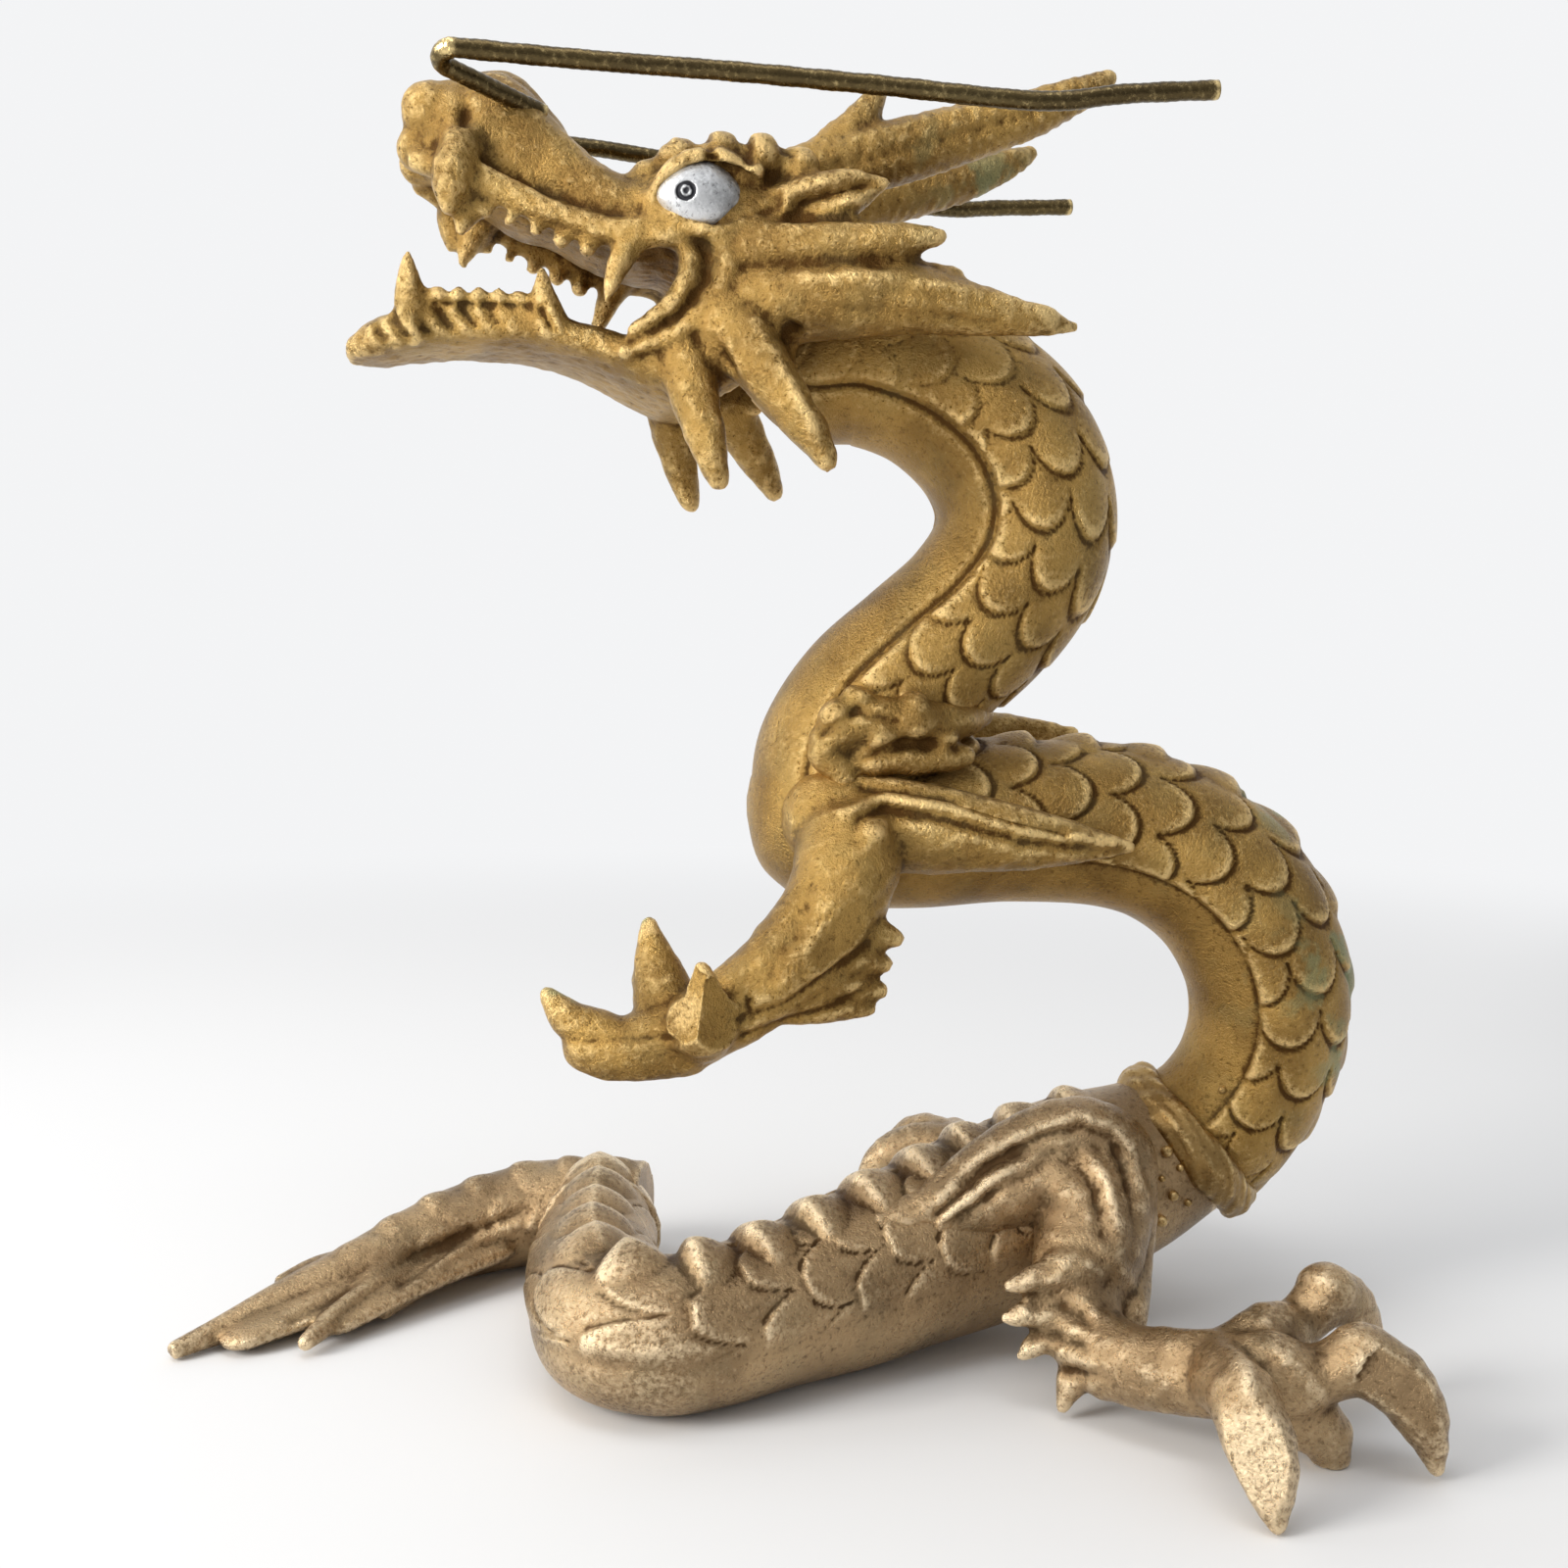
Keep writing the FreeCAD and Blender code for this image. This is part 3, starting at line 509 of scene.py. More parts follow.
def soften(thing, rounds):
    """Drops the crumbs and averages the skin for some rounds."""
    drop_crumbs(thing)
    edges, counts = mesh_edges(thing)
    write_points(thing, smoothed(read_points(thing), edges, counts, rounds))
    thing.data.shade_smooth()

# %% [markdown]
# The parts overlap, and a boolean union of so many would be fragile.  A voxel remesh joins them all
# in one go and closes every gap.  Hollows are cut afterwards, and a second remesh cleans their
# edges.
# %% Fusing the wax
def mirrored(parts):
    """The parts and their mirror images about Y = 0."""
    return parts + [(points * (1, -1, 1), [face[::-1] for face in faces]) for points, faces in parts]


def apply_modifier(thing, kind, **settings):
    """Adds one modifier and applies it."""
    deselect()
    bpy.context.view_layer.objects.active = thing
    thing.select_set(True)
    modifier = thing.modifiers.new(kind.lower(), kind)
    for key, value in settings.items():
        setattr(modifier, key, value)
    bpy.ops.object.modifier_apply(modifier=modifier.name)


def one_mesh(name, parts):
    """All the parts in one object."""
    points, faces, start = [], [], 0
    for part_points, part_faces in parts:
        points.append(part_points)
        faces += [[corner + start for corner in face] for face in part_faces]
        start += len(part_points)
    return make_object(name, np.vstack(points), faces)


def fuse_wax(name, parts, voxel=0.6, rounds=3, cutters=()):
    """One skin over all the wax parts, with the cutters taken away, softened a little."""
    thing = one_mesh(name, parts)
    apply_modifier(thing, "REMESH", mode="VOXEL", voxel_size=voxel * MM)
    for number, cutter in enumerate(cutters):
        tool = one_mesh(f"cutter_{number}", [cutter])
        face_out(tool)
        apply_modifier(thing, "BOOLEAN", operation="DIFFERENCE", object=tool, solver="FAST")
        bpy.data.objects.remove(tool)
    if cutters:
        apply_modifier(thing, "REMESH", mode="VOXEL", voxel_size=voxel * MM)
    soften(thing, rounds)
    print(name, len(thing.data.polygons), "faces")
    return thing

# %% [markdown]
# Folds and grooves are cut or raised after the wax is fused.  Sculpt mode could do that by hand,
# but a brush that is written as a function gives the same stroke each time.  It moves the points
# near a path along their normals, by an amount that fades with the distance.  The last brush adds
# casting unevenness.
# %% Soft brushes
def path_distance(points, path):
    """Distance of each point from a line through the path's points."""
    path = np.asarray(path, float)
    best = np.full(len(points), 1e9)
    for a, b in zip(path[:-1], path[1:]):
        span = b - a
        share = np.clip((points - a) @ span / max(span @ span, 1e-9), 0, 1)
        best = np.minimum(best, np.linalg.norm(points - (a + share[:, None] * span), axis=1))
    return best


def brush(points, normals, path, width, lift):
    """Moves points near the path and near its mirror path along their normals."""
    seen = np.stack([points[:, 0], np.abs(points[:, 1]), points[:, 2]], 1)
    amount = lift * np.exp(-(path_distance(seen, path) / width) ** 2)
    return points + normals * amount[:, None]


WAVES = 14


def rough_casting(points, normals, size, rise, seed):
    """Soft unevenness from a few waves that never line up."""
    rng = np.random.default_rng(seed)
    amount = np.zeros(len(points))
    for _ in range(WAVES):
        way = rng.normal(size=3)
        way /= np.linalg.norm(way)
        length = size * rng.uniform(0.6, 1.8)
        amount += np.sin(points @ way * (2 * math.pi / length) + rng.uniform(0, 7))
    return points + normals * (amount * rise / 4)[:, None]


def roughened(thing, size, rise, seed):
    """Points of a casting with that unevenness."""
    return rough_casting(read_points(thing), vertex_normals(thing), size, rise, seed)


def sculpt(thing, strokes, size, rise, seed):
    """Brushes each stroke (path, width, lift) into the skin, then roughens it."""
    points = read_points(thing)
    for path, width, lift in strokes:
        points = brush(points, vertex_normals(thing), path, width, lift)
        write_points(thing, points)
    points = rough_casting(points, vertex_normals(thing), size, rise, seed)
    write_points(thing, points)

# %% [markdown]
# The head is one hollow casting.  Its two sides are mirror images, so only one side's features are
# listed, and the whole head is turned on the neck at the end.
# %% The head
UPPER_HEAD = [
    (-61.6, 205.2, 3.0, 4.0), (-59.6, 205, 6.4, 7.6), (-56, 204.4, 8.4, 9.8), (-52, 203.6, 9.6, 10.8),
    (-48, 203, 11.6, 11.4), (-44, 201.2, 11.8, 12.0), (-39, 198, 9.6, 12.6), (-33, 193.6, 8.0, 14.2),
    (-26, 190.8, 7.2, 16.4), (-19, 191.8, 9.6, 18.4), (-10, 187, 15.8, 20.6), (0, 184.6, 16.8, 20.8),
    (7, 183.4, 15.4, 19.0),
]
LOWER_JAW = [
    (-72.4, 169.8, 1.6, 4.0), (-67, 171.6, 3.4, 8.4), (-57, 173.2, 3.4, 10.6), (-44, 173, 3.2, 12.4),
    (-34, 170.8, 3.4, 14.4), (-26, 168, 4.6, 16.2), (-19, 167.4, 6.6, 18.0), (-11, 170.4, 8.6, 19.4),
    (-3, 173.6, 8.6, 19.0),
]

# %% [markdown]
# One side's fangs, beard locks, mane locks, ear and eyelids are listed, front to back.  Each is a
# limb that starts inside the skull or the jaw and thins out to its tip.
# %% Fangs, beard, mane and eyelids
SIDE_LIMBS = [
    [(-53.2, 9.6, 201, 3.4), (-54.6, 11.4, 196, 3.6), (-55.4, 12, 192, 2.5), (-55.6, 12, 190.6, 1.4)],
    [(-50.6, 9, 194, 3), (-52.8, 10, 190, 2), (-53.8, 10.4, 187.2, 0.9)],
    [(-26.8, 15.4, 187, 2.8), (-29.2, 16.4, 182, 2.0), (-30.8, 16.8, 178, 1.2),
     (-31.3, 16.9, 176.2, 0.6)],
    [(-61.4, 7.6, 173, 3.4), (-61.8, 8.8, 178, 2.5), (-62, 9.2, 182.4, 1.3), (-62, 9.2, 184, 0.8)],
    [(-39.8, 11.2, 173, 3), (-40.8, 12, 177.6, 2), (-41.2, 12.2, 181.2, 0.9)],
    [(-19, 14, 170, 5), (-17.6, 17, 162, 4), (-15.6, 18.8, 154, 3.1), (-14, 19.2, 148.4, 1.9)],
    [(-12, 17, 173, 6), (-7, 20.6, 166, 4.8), (-1, 23.4, 157, 3.5), (2.4, 24.8, 151.2, 1.9)],
    [(-7, 16.4, 174, 5.4), (-4, 16.6, 168, 3.2), (-2.6, 16.4, 165.4, 1.7)],
    [(-6, 15.6, 181, 5.4), (6, 19.8, 181, 4.2), (14, 22.4, 180.6, 3.2), (23, 24, 180, 1.8)],
    [(-8, 16.8, 184.4, 6.0), (2, 21.4, 184.6, 5.0), (12, 24.8, 185, 3.5), (20, 27, 185.7, 1.3)],
    [(-8, 15.4, 177, 7.4), (4, 20.4, 177.4, 6.8), (16, 23.6, 176.6, 5.5), (28, 25.4, 174.7, 3.7),
     (38, 26, 173.1, 2.0), (42.4, 26, 172.7, 0.9)],
    [(-6, 16.4, 189.8, 4.4), (0, 19.8, 191.4, 4.4), (6, 21.8, 193, 3.8), (11.6, 23.4, 194.4, 1.2)],
    [(-24.4, 16.8, 192, 1.1), (-21, 18.8, 196.4, 1.4), (-15, 20, 198.2, 1.5), (-8, 20.4, 196, 1.3)],
    [(-24.4, 16.8, 191.4, 1.1), (-20, 19, 187.8, 1.2), (-14, 20.4, 186.8, 1.3), (-8, 20.8, 189.4, 1.2)],
    [(-60, 6.6, 199, 2.0), (-50, 11.2, 194.6, 2.2), (-40, 13, 190.2, 2.2), (-30, 15.4, 187, 2.2),
     (-21, 18, 186.2, 2.0)],
]

# %% [markdown]
# Two folds of skin run round the corner of the mouth, like the folds of a curtain.  The cheek
# behind them closes the gap between the jaws, and a softer limb fills the valley between the folds.
# %% Mouth folds and cheeks
MOUTH_FOLDS = [
    [(-29, 16.6, 187, 1.4), (-24, 17.4, 187.6, 1.8), (-19.6, 17.6, 186, 2.0), (-18, 17.6, 182, 2.0),
     (-20.6, 17.4, 176.2, 1.9), (-27, 16.4, 171.4, 1.4)],
    [(-21, 18.6, 189, 1.2), (-15, 19.2, 187, 1.8), (-12.4, 19.8, 182.2, 1.9), (-14.2, 19.4, 176.8, 1.9),
     (-19.6, 18, 171.6, 1.7), (-28.6, 15.8, 168.4, 1.2)],
]
CHEEK = [
    [(-17, 13.6, 188, 4.4), (-12.6, 14.4, 182, 5.6), (-15.4, 14, 175, 5.0), (-22, 13, 170.4, 3.4)],
    [(-24.6, 15.2, 188, 2.2), (-17, 16.2, 186, 2.6), (-15.2, 16.6, 182, 2.8), (-17.4, 16.2, 176.6, 2.6),
     (-23.4, 15, 171, 2.2)],
]


def just_places(rows):
    """Rows without their radius."""
    return [row[:3] for row in rows]

# %% [markdown]
# Brow knobs, nostrils, gums and small teeth are balls.  The gums and teeth stand in even rows, so
# only the ends of each row are given, and the gums vary a little in size.
# %% Brow, nostrils, gums and teeth
SIDE_BALLS = [
    (-58.2, 4.4, 207.4, 4.8), (-60, 3.4, 201.6, 3.8), (-24, 10.8, 196.6, 3.3),
    (-19.4, 13.4, 199.2, 3.5), (-13, 15.8, 199.8, 3.6), (-6.8, 17, 199.4, 3.6),
    (-0.8, 17.4, 197.6, 3.5),
]
GUM_FIRST, GUM_LAST, GUM_COUNT = (-50, 11.4, 190.4), (-34, 13.8, 184.6), 5
TOOTH_FIRST, TOOTH_LAST, TOOTH_COUNT = (-57.4, 9.6, 176.8), (-44.6, 11.0, 176.2), 5


def between(first, last, count):
    """Evenly spaced places from first to last."""
    first, last = np.array(first), np.array(last)
    return [tuple(first + (last - first) * i / (count - 1)) for i in range(count)]


GUM_SIZE, GUM_CHANGE = 1.35, 0.25
TOOTH_SIZE, TOOTH_TALL = 1.55, 1.7
CREST = [(-53, 0, 208, 4), (-49.4, 0, 212.2, 3.6), (-45, 0, 211.4, 3.6), (-40, 0, 205, 4)]


def head_wax():
    """All the wax of the head: one side, its mirror image, the skull, the jaw and the crest."""
    side = [wax_limb(rows) for rows in SIDE_LIMBS + MOUTH_FOLDS + CHEEK]
    side += [wax_ball(*ball) for ball in SIDE_BALLS]
    gums = between(GUM_FIRST, GUM_LAST, GUM_COUNT)
    side += [wax_ball(*place, GUM_SIZE + GUM_CHANGE * math.sin(5 * number))
             for number, place in enumerate(gums)]
    teeth = between(TOOTH_FIRST, TOOTH_LAST, TOOTH_COUNT)
    side += [wax_ball(*place, TOOTH_SIZE, TOOTH_TALL) for place in teeth]
    return mirrored(side) + [wax_ovals(UPPER_HEAD), wax_ovals(LOWER_JAW, 0.7), wax_limb(CREST)]

# %% [markdown]
# The lip, the tooth gaps, the brow and the grooves of the mane are brushed in after the fuse.  Each
# stroke is a path, a width and a lift, and a negative lift cuts.  A stroke works on both sides at
# once.
# %% Lines on the head
LIP = [(-56, 10.6, 199.4), (-50, 12, 196.4), (-44, 13, 193), (-38, 14.2, 190), (-30, 16, 187.6),
       (-22, 18.2, 187.6)]
LIP_DROP = 2.0
JAW_NOTCHES = ((-68, 8, 173.2), (-36, 14.6, 172.4), 9)
BROW_NOTCHES = (-22.2, -16.4, -10.2, -3.8)
FRONT_LINES = [
    ([(-58, 10.6, 176.2), (-43, 12.2, 175.8)], 0.6, -0.6),
    ([(-2, 24, 190.6), (4, 26, 192.6), (9, 26.4, 194)], 1.9, -2.6),
    ([(-52.4, 0, 211), (-52.8, 8, 208.6), (-53, 11, 204)], 1.2, -1.3),
]
MANE_LINES = [
    ([(-22, 17.6, 193.6), (-14, 20, 197.6), (-5, 22, 192)], 1.0, -0.9),
    ([(-22, 17.6, 193.2), (-14, 20.4, 187.2), (-5, 22, 191)], 1.0, -0.9),
    ([(-4, 21.4, 188.4), (6, 25, 188.6), (12, 26, 188.8)], 1.4, -1.2),
    ([(-8, 21, 181.4), (4, 26, 181.4), (14, 29, 181.4)], 1.4, -0.4),
    ([(-2, 27, 179), (14, 30, 179), (28, 30, 177), (38, 28, 174.4)], 1.6, 1.0),
    ([(-2, 27, 173.6), (14, 29, 172.8), (28, 28.6, 171.8)], 1.5, -0.9),
    ([(-9, 22.6, 172), (-5, 25, 164), (0, 27, 156)], 1.4, 0.8),
    ([(-14, 20.6, 170), (-12, 22, 162), (-9, 22, 156)], 1.3, -1.1),
    ([(-3, 22, 173), (-1, 22, 167), (2, 24, 160)], 1.4, -1.1),
]


def head_strokes():
    """Every stroke on the head, in the order in which they are brushed."""
    strokes = [(LIP, 0.8, 0.9), ([(x, y, z - LIP_DROP) for x, y, z in LIP], 0.8, -0.7)]
    inner, outer = (np.array(just_places(rows)) for rows in MOUTH_FOLDS)
    strokes.append(((inner + outer) / 2 + (0.2, 0.6, 0), 0.9, -0.6))
    strokes.append((outer + (2.6, 0.4, 0), 1.0, -0.9))
    strokes += [([(x - 1.6, y, z + 2.4), (x + 1.6, y + 0.8, z - 2.6)], 0.8, -1.0)
                for x, y, z in between(*JAW_NOTCHES)]
    strokes += FRONT_LINES
    strokes += [([(x, 12, 203.4), (x + 0.6, 19, 201.6), (x + 1.2, 21.4, 197.6)], 0.9, -1.1)
                for x in BROW_NOTCHES]
    return strokes + MANE_LINES

# %% [markdown]
# The neck comes out of a hollow in the head, so a plug of its shape is cut away, and the mouth is
# deepened in the same way.  The head is turned to its place on the neck at the very end.
# %% The fused head
NECK_HOLLOW = wax_limb([(-4, 0, 168.6, 16.2), (4, 0, 169, 16.4), (22, 0, 169, 16.4)], around=40)
MOUTH_HOLLOW = wax_limb([(-40, 0, 181, 5.0), (-30, 0, 179, 7.5), (-22, 0, 178.4, 7.4),
                         (-19.5, 0, 178.2, 5)], 0.62)
head = fuse_wax("head_casting", head_wax(), cutters=[NECK_HOLLOW, MOUTH_HOLLOW])
strokes = head_strokes()
sculpt(head, strokes, size=3.2, rise=0.1, seed=11)
write_points(head, turned(read_points(head)))
print("strokes on the head:", len(strokes))

# %% [markdown]
# The legs are cast with the same freedom as the head.  Each one is a bone line with branches for
# the flame, the toes and the spurs.  Lines are carved from the side, so their depth hardly matters,
# and claws and pads that the maker filed are pressed back onto flat facets.
# %% Carving from the side
def carve(thing, strokes, depth=0.2):
    """Brushes strokes that are laid out as seen from the side; depth shrinks distances along Y."""
    points = read_points(thing)
    scale = np.array((1.0, depth, 1.0))
    for path, width, lift in strokes:
        distance = path_distance(points * scale, np.asarray(path, float) * scale)
        amount = lift * np.exp(-(distance / width) ** 2)
        points = points + vertex_normals(thing) * amount[:, None]
        write_points(thing, points)


def grind(thing, place, facing, reach):
    """Files a flat facet: points past the plane, within reach of its centre, go back onto it."""
    points = read_points(thing)
    facing = np.asarray(facing, float) / np.linalg.norm(facing)
    past = (points - place) @ facing
    near = np.linalg.norm(points - place, axis=1) < reach
    points -= np.where((past > 0) & near, past, 0)[:, None] * facing
    write_points(thing, points)

# %% [markdown]
# Every leg is made in the same three steps: the limbs are fused, the lines are carved, and the sand
# mould's unevenness goes over it all.  Only the limbs and the lines differ.
# %% One way for every leg
LEG_GRAIN, LEG_RISE = 3.8, 0.1


def straight(path):
    """A path of at least two points, so that a single spot can be brushed too."""
    return path if len(path) > 1 else [path[0], path[0]]


def leg_casting(name, limbs, lines, seed):
    """One leg from its wax limbs and its carved lines."""
    leg = fuse_wax(name, [wax_limb(rows) for rows in limbs])
    carve(leg, [(straight(path), width, lift) for path, width, lift in lines])
    write_points(leg, roughened(leg, LEG_GRAIN, LEG_RISE, seed))
    return leg

# %% [markdown]
# The left foreleg is raised in front, with a flame ridge that runs back from the shoulder, four
# spurs behind the elbow and three claws.  A skin modifier could grow it from edges, but it gives
# little control of the ends.  Wax limbs do, so the bone, the ridge, the spurs and the claws are
# limbs.
# %% The left foreleg
LEFT_FORELEG = [
    [(13, -4, 92, 8), (11, -18, 89.8, 9.0), (8.6, -24, 82, 8.2), (3, -26.6, 74.4, 7.6),
     (-5, -28, 67, 6.8), (-14, -29, 62, 6.0), (-22, -29, 59.4, 5.4)],
    [(8, -13, 93.6, 8.6), (24, -16.2, 92, 7.4), (42, -16.0, 90.2, 4.8), (57, -15.6, 88.9, 1.2)],
    [(-16, -29, 59.6, 5.6), (-26, -29.4, 58.4, 5.2), (-30.6, -29.6, 59.2, 4.6)],
    [(-28, -29.6, 60.2, 4.2), (-34, -29.6, 63.4, 3.2), (-37.2, -29.4, 67.2, 1.5)],
    [(-18, -26, 62, 5.6), (-20.2, -24.4, 69, 4.5), (-21.8, -23.2, 77.2, 1.5)],
    [(-13.4, -29, 62, 6.2), (-12.4, -35.4, 64.4, 5.6), (-12, -38.4, 67.6, 4.2),
     (-12.6, -37.4, 72.4, 1.7)],
    [(8, -25, 77.6, 5.0), (14, -25, 76.4, 3.4), (17.8, -25, 75.4, 1.6)],
    [(6, -26, 73.4, 5.0), (12, -25.4, 72.2, 3.6), (16, -25, 71.4, 1.6)],
    [(4, -26.4, 69.6, 4.8), (10.6, -25.8, 68.2, 3.4), (15.4, -25.4, 67, 1.5)],
    [(1, -27, 66.4, 4.6), (8, -26.4, 65.2, 3.2), (13.6, -25.6, 64.2, 1.3)],
]
LEFT_FORELEG_LINES = [
    ([(12.7, -20, 100.8), (24.8, -20, 99.4), (37, -20, 95.7), (48.2, -20, 92.9), (57, -20, 89.4)],
     0.9, 0.6),
    ([(12.6, -21, 99.5), (25.7, -21, 97.4), (36.9, -21, 93.9), (46.2, -21, 91.6)], 0.8, -1.0),
    ([(9.4, -22, 95.4), (16.3, -22, 97.7), (29.3, -22, 95.9), (43.2, -22, 92.1), (54, -22, 89.6)],
     1.0, 0.9),
    ([(11, -22, 91.7), (12.1, -22, 94.9), (16.3, -22, 95.9), (26.5, -22, 94.2), (38.6, -22, 90.5),
      (56, -22, 88.2)], 1.0, -0.9),
    ([(14.2, -27, 92.4)], 2.2, 1.4),
    ([(-8.4, -32, 64.1), (0.6, -32, 66.4), (9.6, -32, 72.3), (13.2, -32, 75.1)], 0.9, -0.9),
    ([(-6, -32, 61.4), (5.1, -31, 64.4), (14.2, -31, 68.2)], 0.8, -0.8),
    ([(-16.2, -36, 61.9), (-32.6, -36, 60.8)], 0.6, -0.6),
    ([(4, -30, 84), (2, -30, 78), (-2, -32, 72)], 1.6, -0.7),
]
left_foreleg = leg_casting("left_foreleg_casting", LEFT_FORELEG, LEFT_FORELEG_LINES, seed=21)
grind(left_foreleg, (-15.4, -37.4, 66), (-0.65, -0.72, 0.2), 7.5)
grind(left_foreleg, (-10.4, -38, 65), (0.62, -0.78, 0.05), 7)
grind(left_foreleg, (10.6, -31.4, 79), (0.42, -0.9, -0.1), 9)

# %% [markdown]
# The left hind leg carries the figure on three clawed toes.  Two flame folds wrap the thigh, and
# small spurs stand behind the ankle.  It is built as the foreleg is.  The claws' flat faces were
# filed by the maker, so they are ground flat here as well.
# %% The left hind leg
LEFT_HIND_LEG = [
    [(52, 4, 28, 9.4), (53.4, -8, 28.4, 10.4), (51.4, -17, 22, 9.2), (47.8, -24, 15, 7.8),
     (50, -32, 10.6, 7.0), (58, -40, 11, 6.4), (68, -46, 12.6, 6.4), (76, -48.4, 13.2, 5.8)],
    [(56, -6, 33, 8.0), (42, -9, 30.4, 7.6), (27, -13, 26.6, 5.4), (13, -18.6, 25, 1.8)],
    [(26, -12, 29.6, 2.6), (38, -9.4, 36.4, 4.2), (50, -8, 39.4, 5.4), (58, -7.6, 35.4, 5.8),
     (59, -9, 26, 5.4), (58, -14, 17, 4.6), (56, -22, 12, 4.2)],
    [(66, -44, 12.6, 6.0), (65, -53, 14.4, 5.0), (65.8, -59, 14.8, 4.6)],
    [(65.6, -58, 14.6, 5.2), (66.8, -63.4, 9.8, 5.0), (67.6, -66, 4, 3.2), (67.8, -67.4, 1.2, 1.4)],
    [(70, -47.4, 13.2, 6.2), (79, -48.2, 14.2, 4.8), (86, -49, 16.6, 4.8)],
    [(85.6, -49, 16.8, 5.2), (91, -50.4, 13.4, 5.0), (94.4, -51.6, 7.4, 3.6), (95.6, -52.6, 1.8, 1.4)],
    [(68, -43, 13.2, 5.6), (75.6, -39.4, 16.6, 4.6), (80.4, -35.4, 16.2, 3.9), (86, -33, 20.4, 4.6)],
    [(85.6, -33, 20.4, 4.7), (90.6, -30, 16.8, 4.2), (94.8, -27.4, 8.6, 2.6), (95.8, -27, 1.6, 1.0)],
    [(75, -47, 8.6, 5.2), (80.6, -47.2, 4.8, 4.6), (82, -47.2, 1.2, 3.2)],
    [(48, -25, 20, 5.0), (40.6, -28, 20.2, 2.6), (36, -29.4, 19.8, 1.0)],
    [(46, -27, 16, 5.0), (39.6, -29.4, 15.4, 2.6), (35.4, -30, 14.8, 1.0)],
    [(46, -28, 13, 5.0), (41, -30, 11.4, 2.6), (38, -30.6, 8.8, 1.0)],
    [(50, -31, 11, 5.0), (46, -33, 6.4, 3.0), (44.2, -33.6, 1.8, 1.1)],
]
LEFT_HIND_LINES = [
    ([(26, -17, 27.6), (33.8, -17, 34.2), (43.7, -17, 39.6), (50.7, -17, 41), (55.4, -17, 39),
      (57.6, -17, 34.2), (58, -17, 26.4)], 1.1, -1.1),
    ([(26, -19, 25.9), (34.8, -19, 33), (45.2, -19, 37.6), (50.4, -19, 38), (53.3, -19, 34.4),
      (54.8, -19, 27.7), (54.4, -19, 21)], 1.1, 0.9),
    ([(22, -21, 25), (28.2, -21, 26.5), (35.1, -21, 31), (44.8, -21, 35.6), (48.9, -21, 35.8),
      (51.2, -21, 32.4), (51.9, -21, 26.4)], 1.1, -0.9),
    ([(26.4, -16, 30), (30, -16, 33.3), (38, -16, 38.8), (49.7, -16, 43), (55.6, -16, 41.6),
      (59.2, -16, 37), (60.6, -16, 29)], 1.1, 0.6),
    ([(46.1, -24, 32.6)], 2.6, 1.3),
    ([(45.6, -24, 24)], 3.0, 0.8),
    ([(47, -34, 17), (40, -33, 17.6)], 1.2, -1.0),
    ([(46, -34, 13.4), (39, -33, 12.4)], 1.1, -0.9),
    ([(49, -36, 10.4), (44, -35, 8)], 1.1, -0.9),
    ([(52, -34, 19), (56, -38, 16)], 2.2, -0.8),
    ([(65.4, -56, 20), (65.4, -60, 19)], 1.6, 0.8),
    ([(73, -50, 19)], 2.6, 1.0),
    ([(79, -50, 19)], 2.0, -0.9),
]
left_hind = leg_casting("left_hind_leg_casting", LEFT_HIND_LEG, LEFT_HIND_LINES, seed=22)
grind(left_hind, (65.4, -66.2, 8.6), (-0.42, -0.86, 0.28), 11)
grind(left_hind, (91, -54, 13.4), (-0.1, -0.98, 0.1), 8)

# %% [markdown]
# The right legs stand behind the figure.  They follow the left ones, with their own poses: the
# foreleg reaches back and down, and the hind leg stands out to keep the figure upright.
# %% The two right legs
RIGHT_FORELEG = [
    [(13, 4, 92, 8), (13, 18, 89.6, 9), (13, 26, 83.6, 8), (11.6, 35, 76.4, 6.6), (9.4, 43, 70.6, 5.6),
     (8, 50, 67.8, 5.2)],
    [(10, 14, 95, 8), (24, 18, 102, 6.2), (38, 20, 106.4, 4.0), (54, 20, 106.2, 1.3)],
    [(8.6, 49, 68.6, 5.2), (5.8, 56, 69.2, 4.0), (4.2, 61, 73, 1.2)],
    [(9, 49, 68.6, 5.2), (12.4, 56, 67.6, 4.0), (12.8, 62, 70.6, 1.2)],
    [(9, 47, 69, 5.2), (9, 53, 62, 3.6), (9, 55.4, 57.4, 1.2)],
    [(12, 30, 81, 6.4), (20, 28, 76.8, 3.2), (26, 25.8, 74.8, 1.0)],
]
RIGHT_HIND_LEG = [
    [(52, 6, 28, 9), (53.4, 20, 25, 9), (52, 32, 19.4, 8.2), (49, 46, 13.8, 7.2), (45, 59, 10.2, 6.6),
     (39.6, 70, 10.2, 6.8), (35, 78, 10.2, 6.0)],
    [(54, 13, 30, 7.4), (42, 16, 26.6, 6.8), (30, 17, 22, 4.2), (20.6, 15.4, 19.2, 1.8)],
    [(36, 75, 10.6, 6.0), (30.8, 80, 11.8, 5.0), (26.2, 82.6, 7, 3.8), (23.6, 84, 1.8, 1.2)],
    [(38, 72, 10.6, 6.0), (28, 72.6, 11.2, 5.0), (21, 72.8, 7.4, 3.8), (17, 73, 1.8, 1.2)],
    [(38, 75, 10.6, 6.0), (39, 82, 10.8, 4.2), (38.4, 84, 6, 3.2), (38, 84.6, 1.6, 1.0)],
    [(46, 58, 9.8, 5.6), (51, 61, 5.4, 3.2), (53.6, 62.6, 1.6, 1.0)],
    [(37, 74, 8, 5.6), (35.8, 75, 4, 4.6), (35.6, 75, 1.2, 3.2)],
]
FORE_FLAME = [
    ([(14, 24, 101), (28, 24, 105.6), (48, 24, 107)], 1.0, -1.0),
    ([(14, 24, 97), (28, 24, 101), (44, 24, 104.6)], 1.0, -1.0),
]
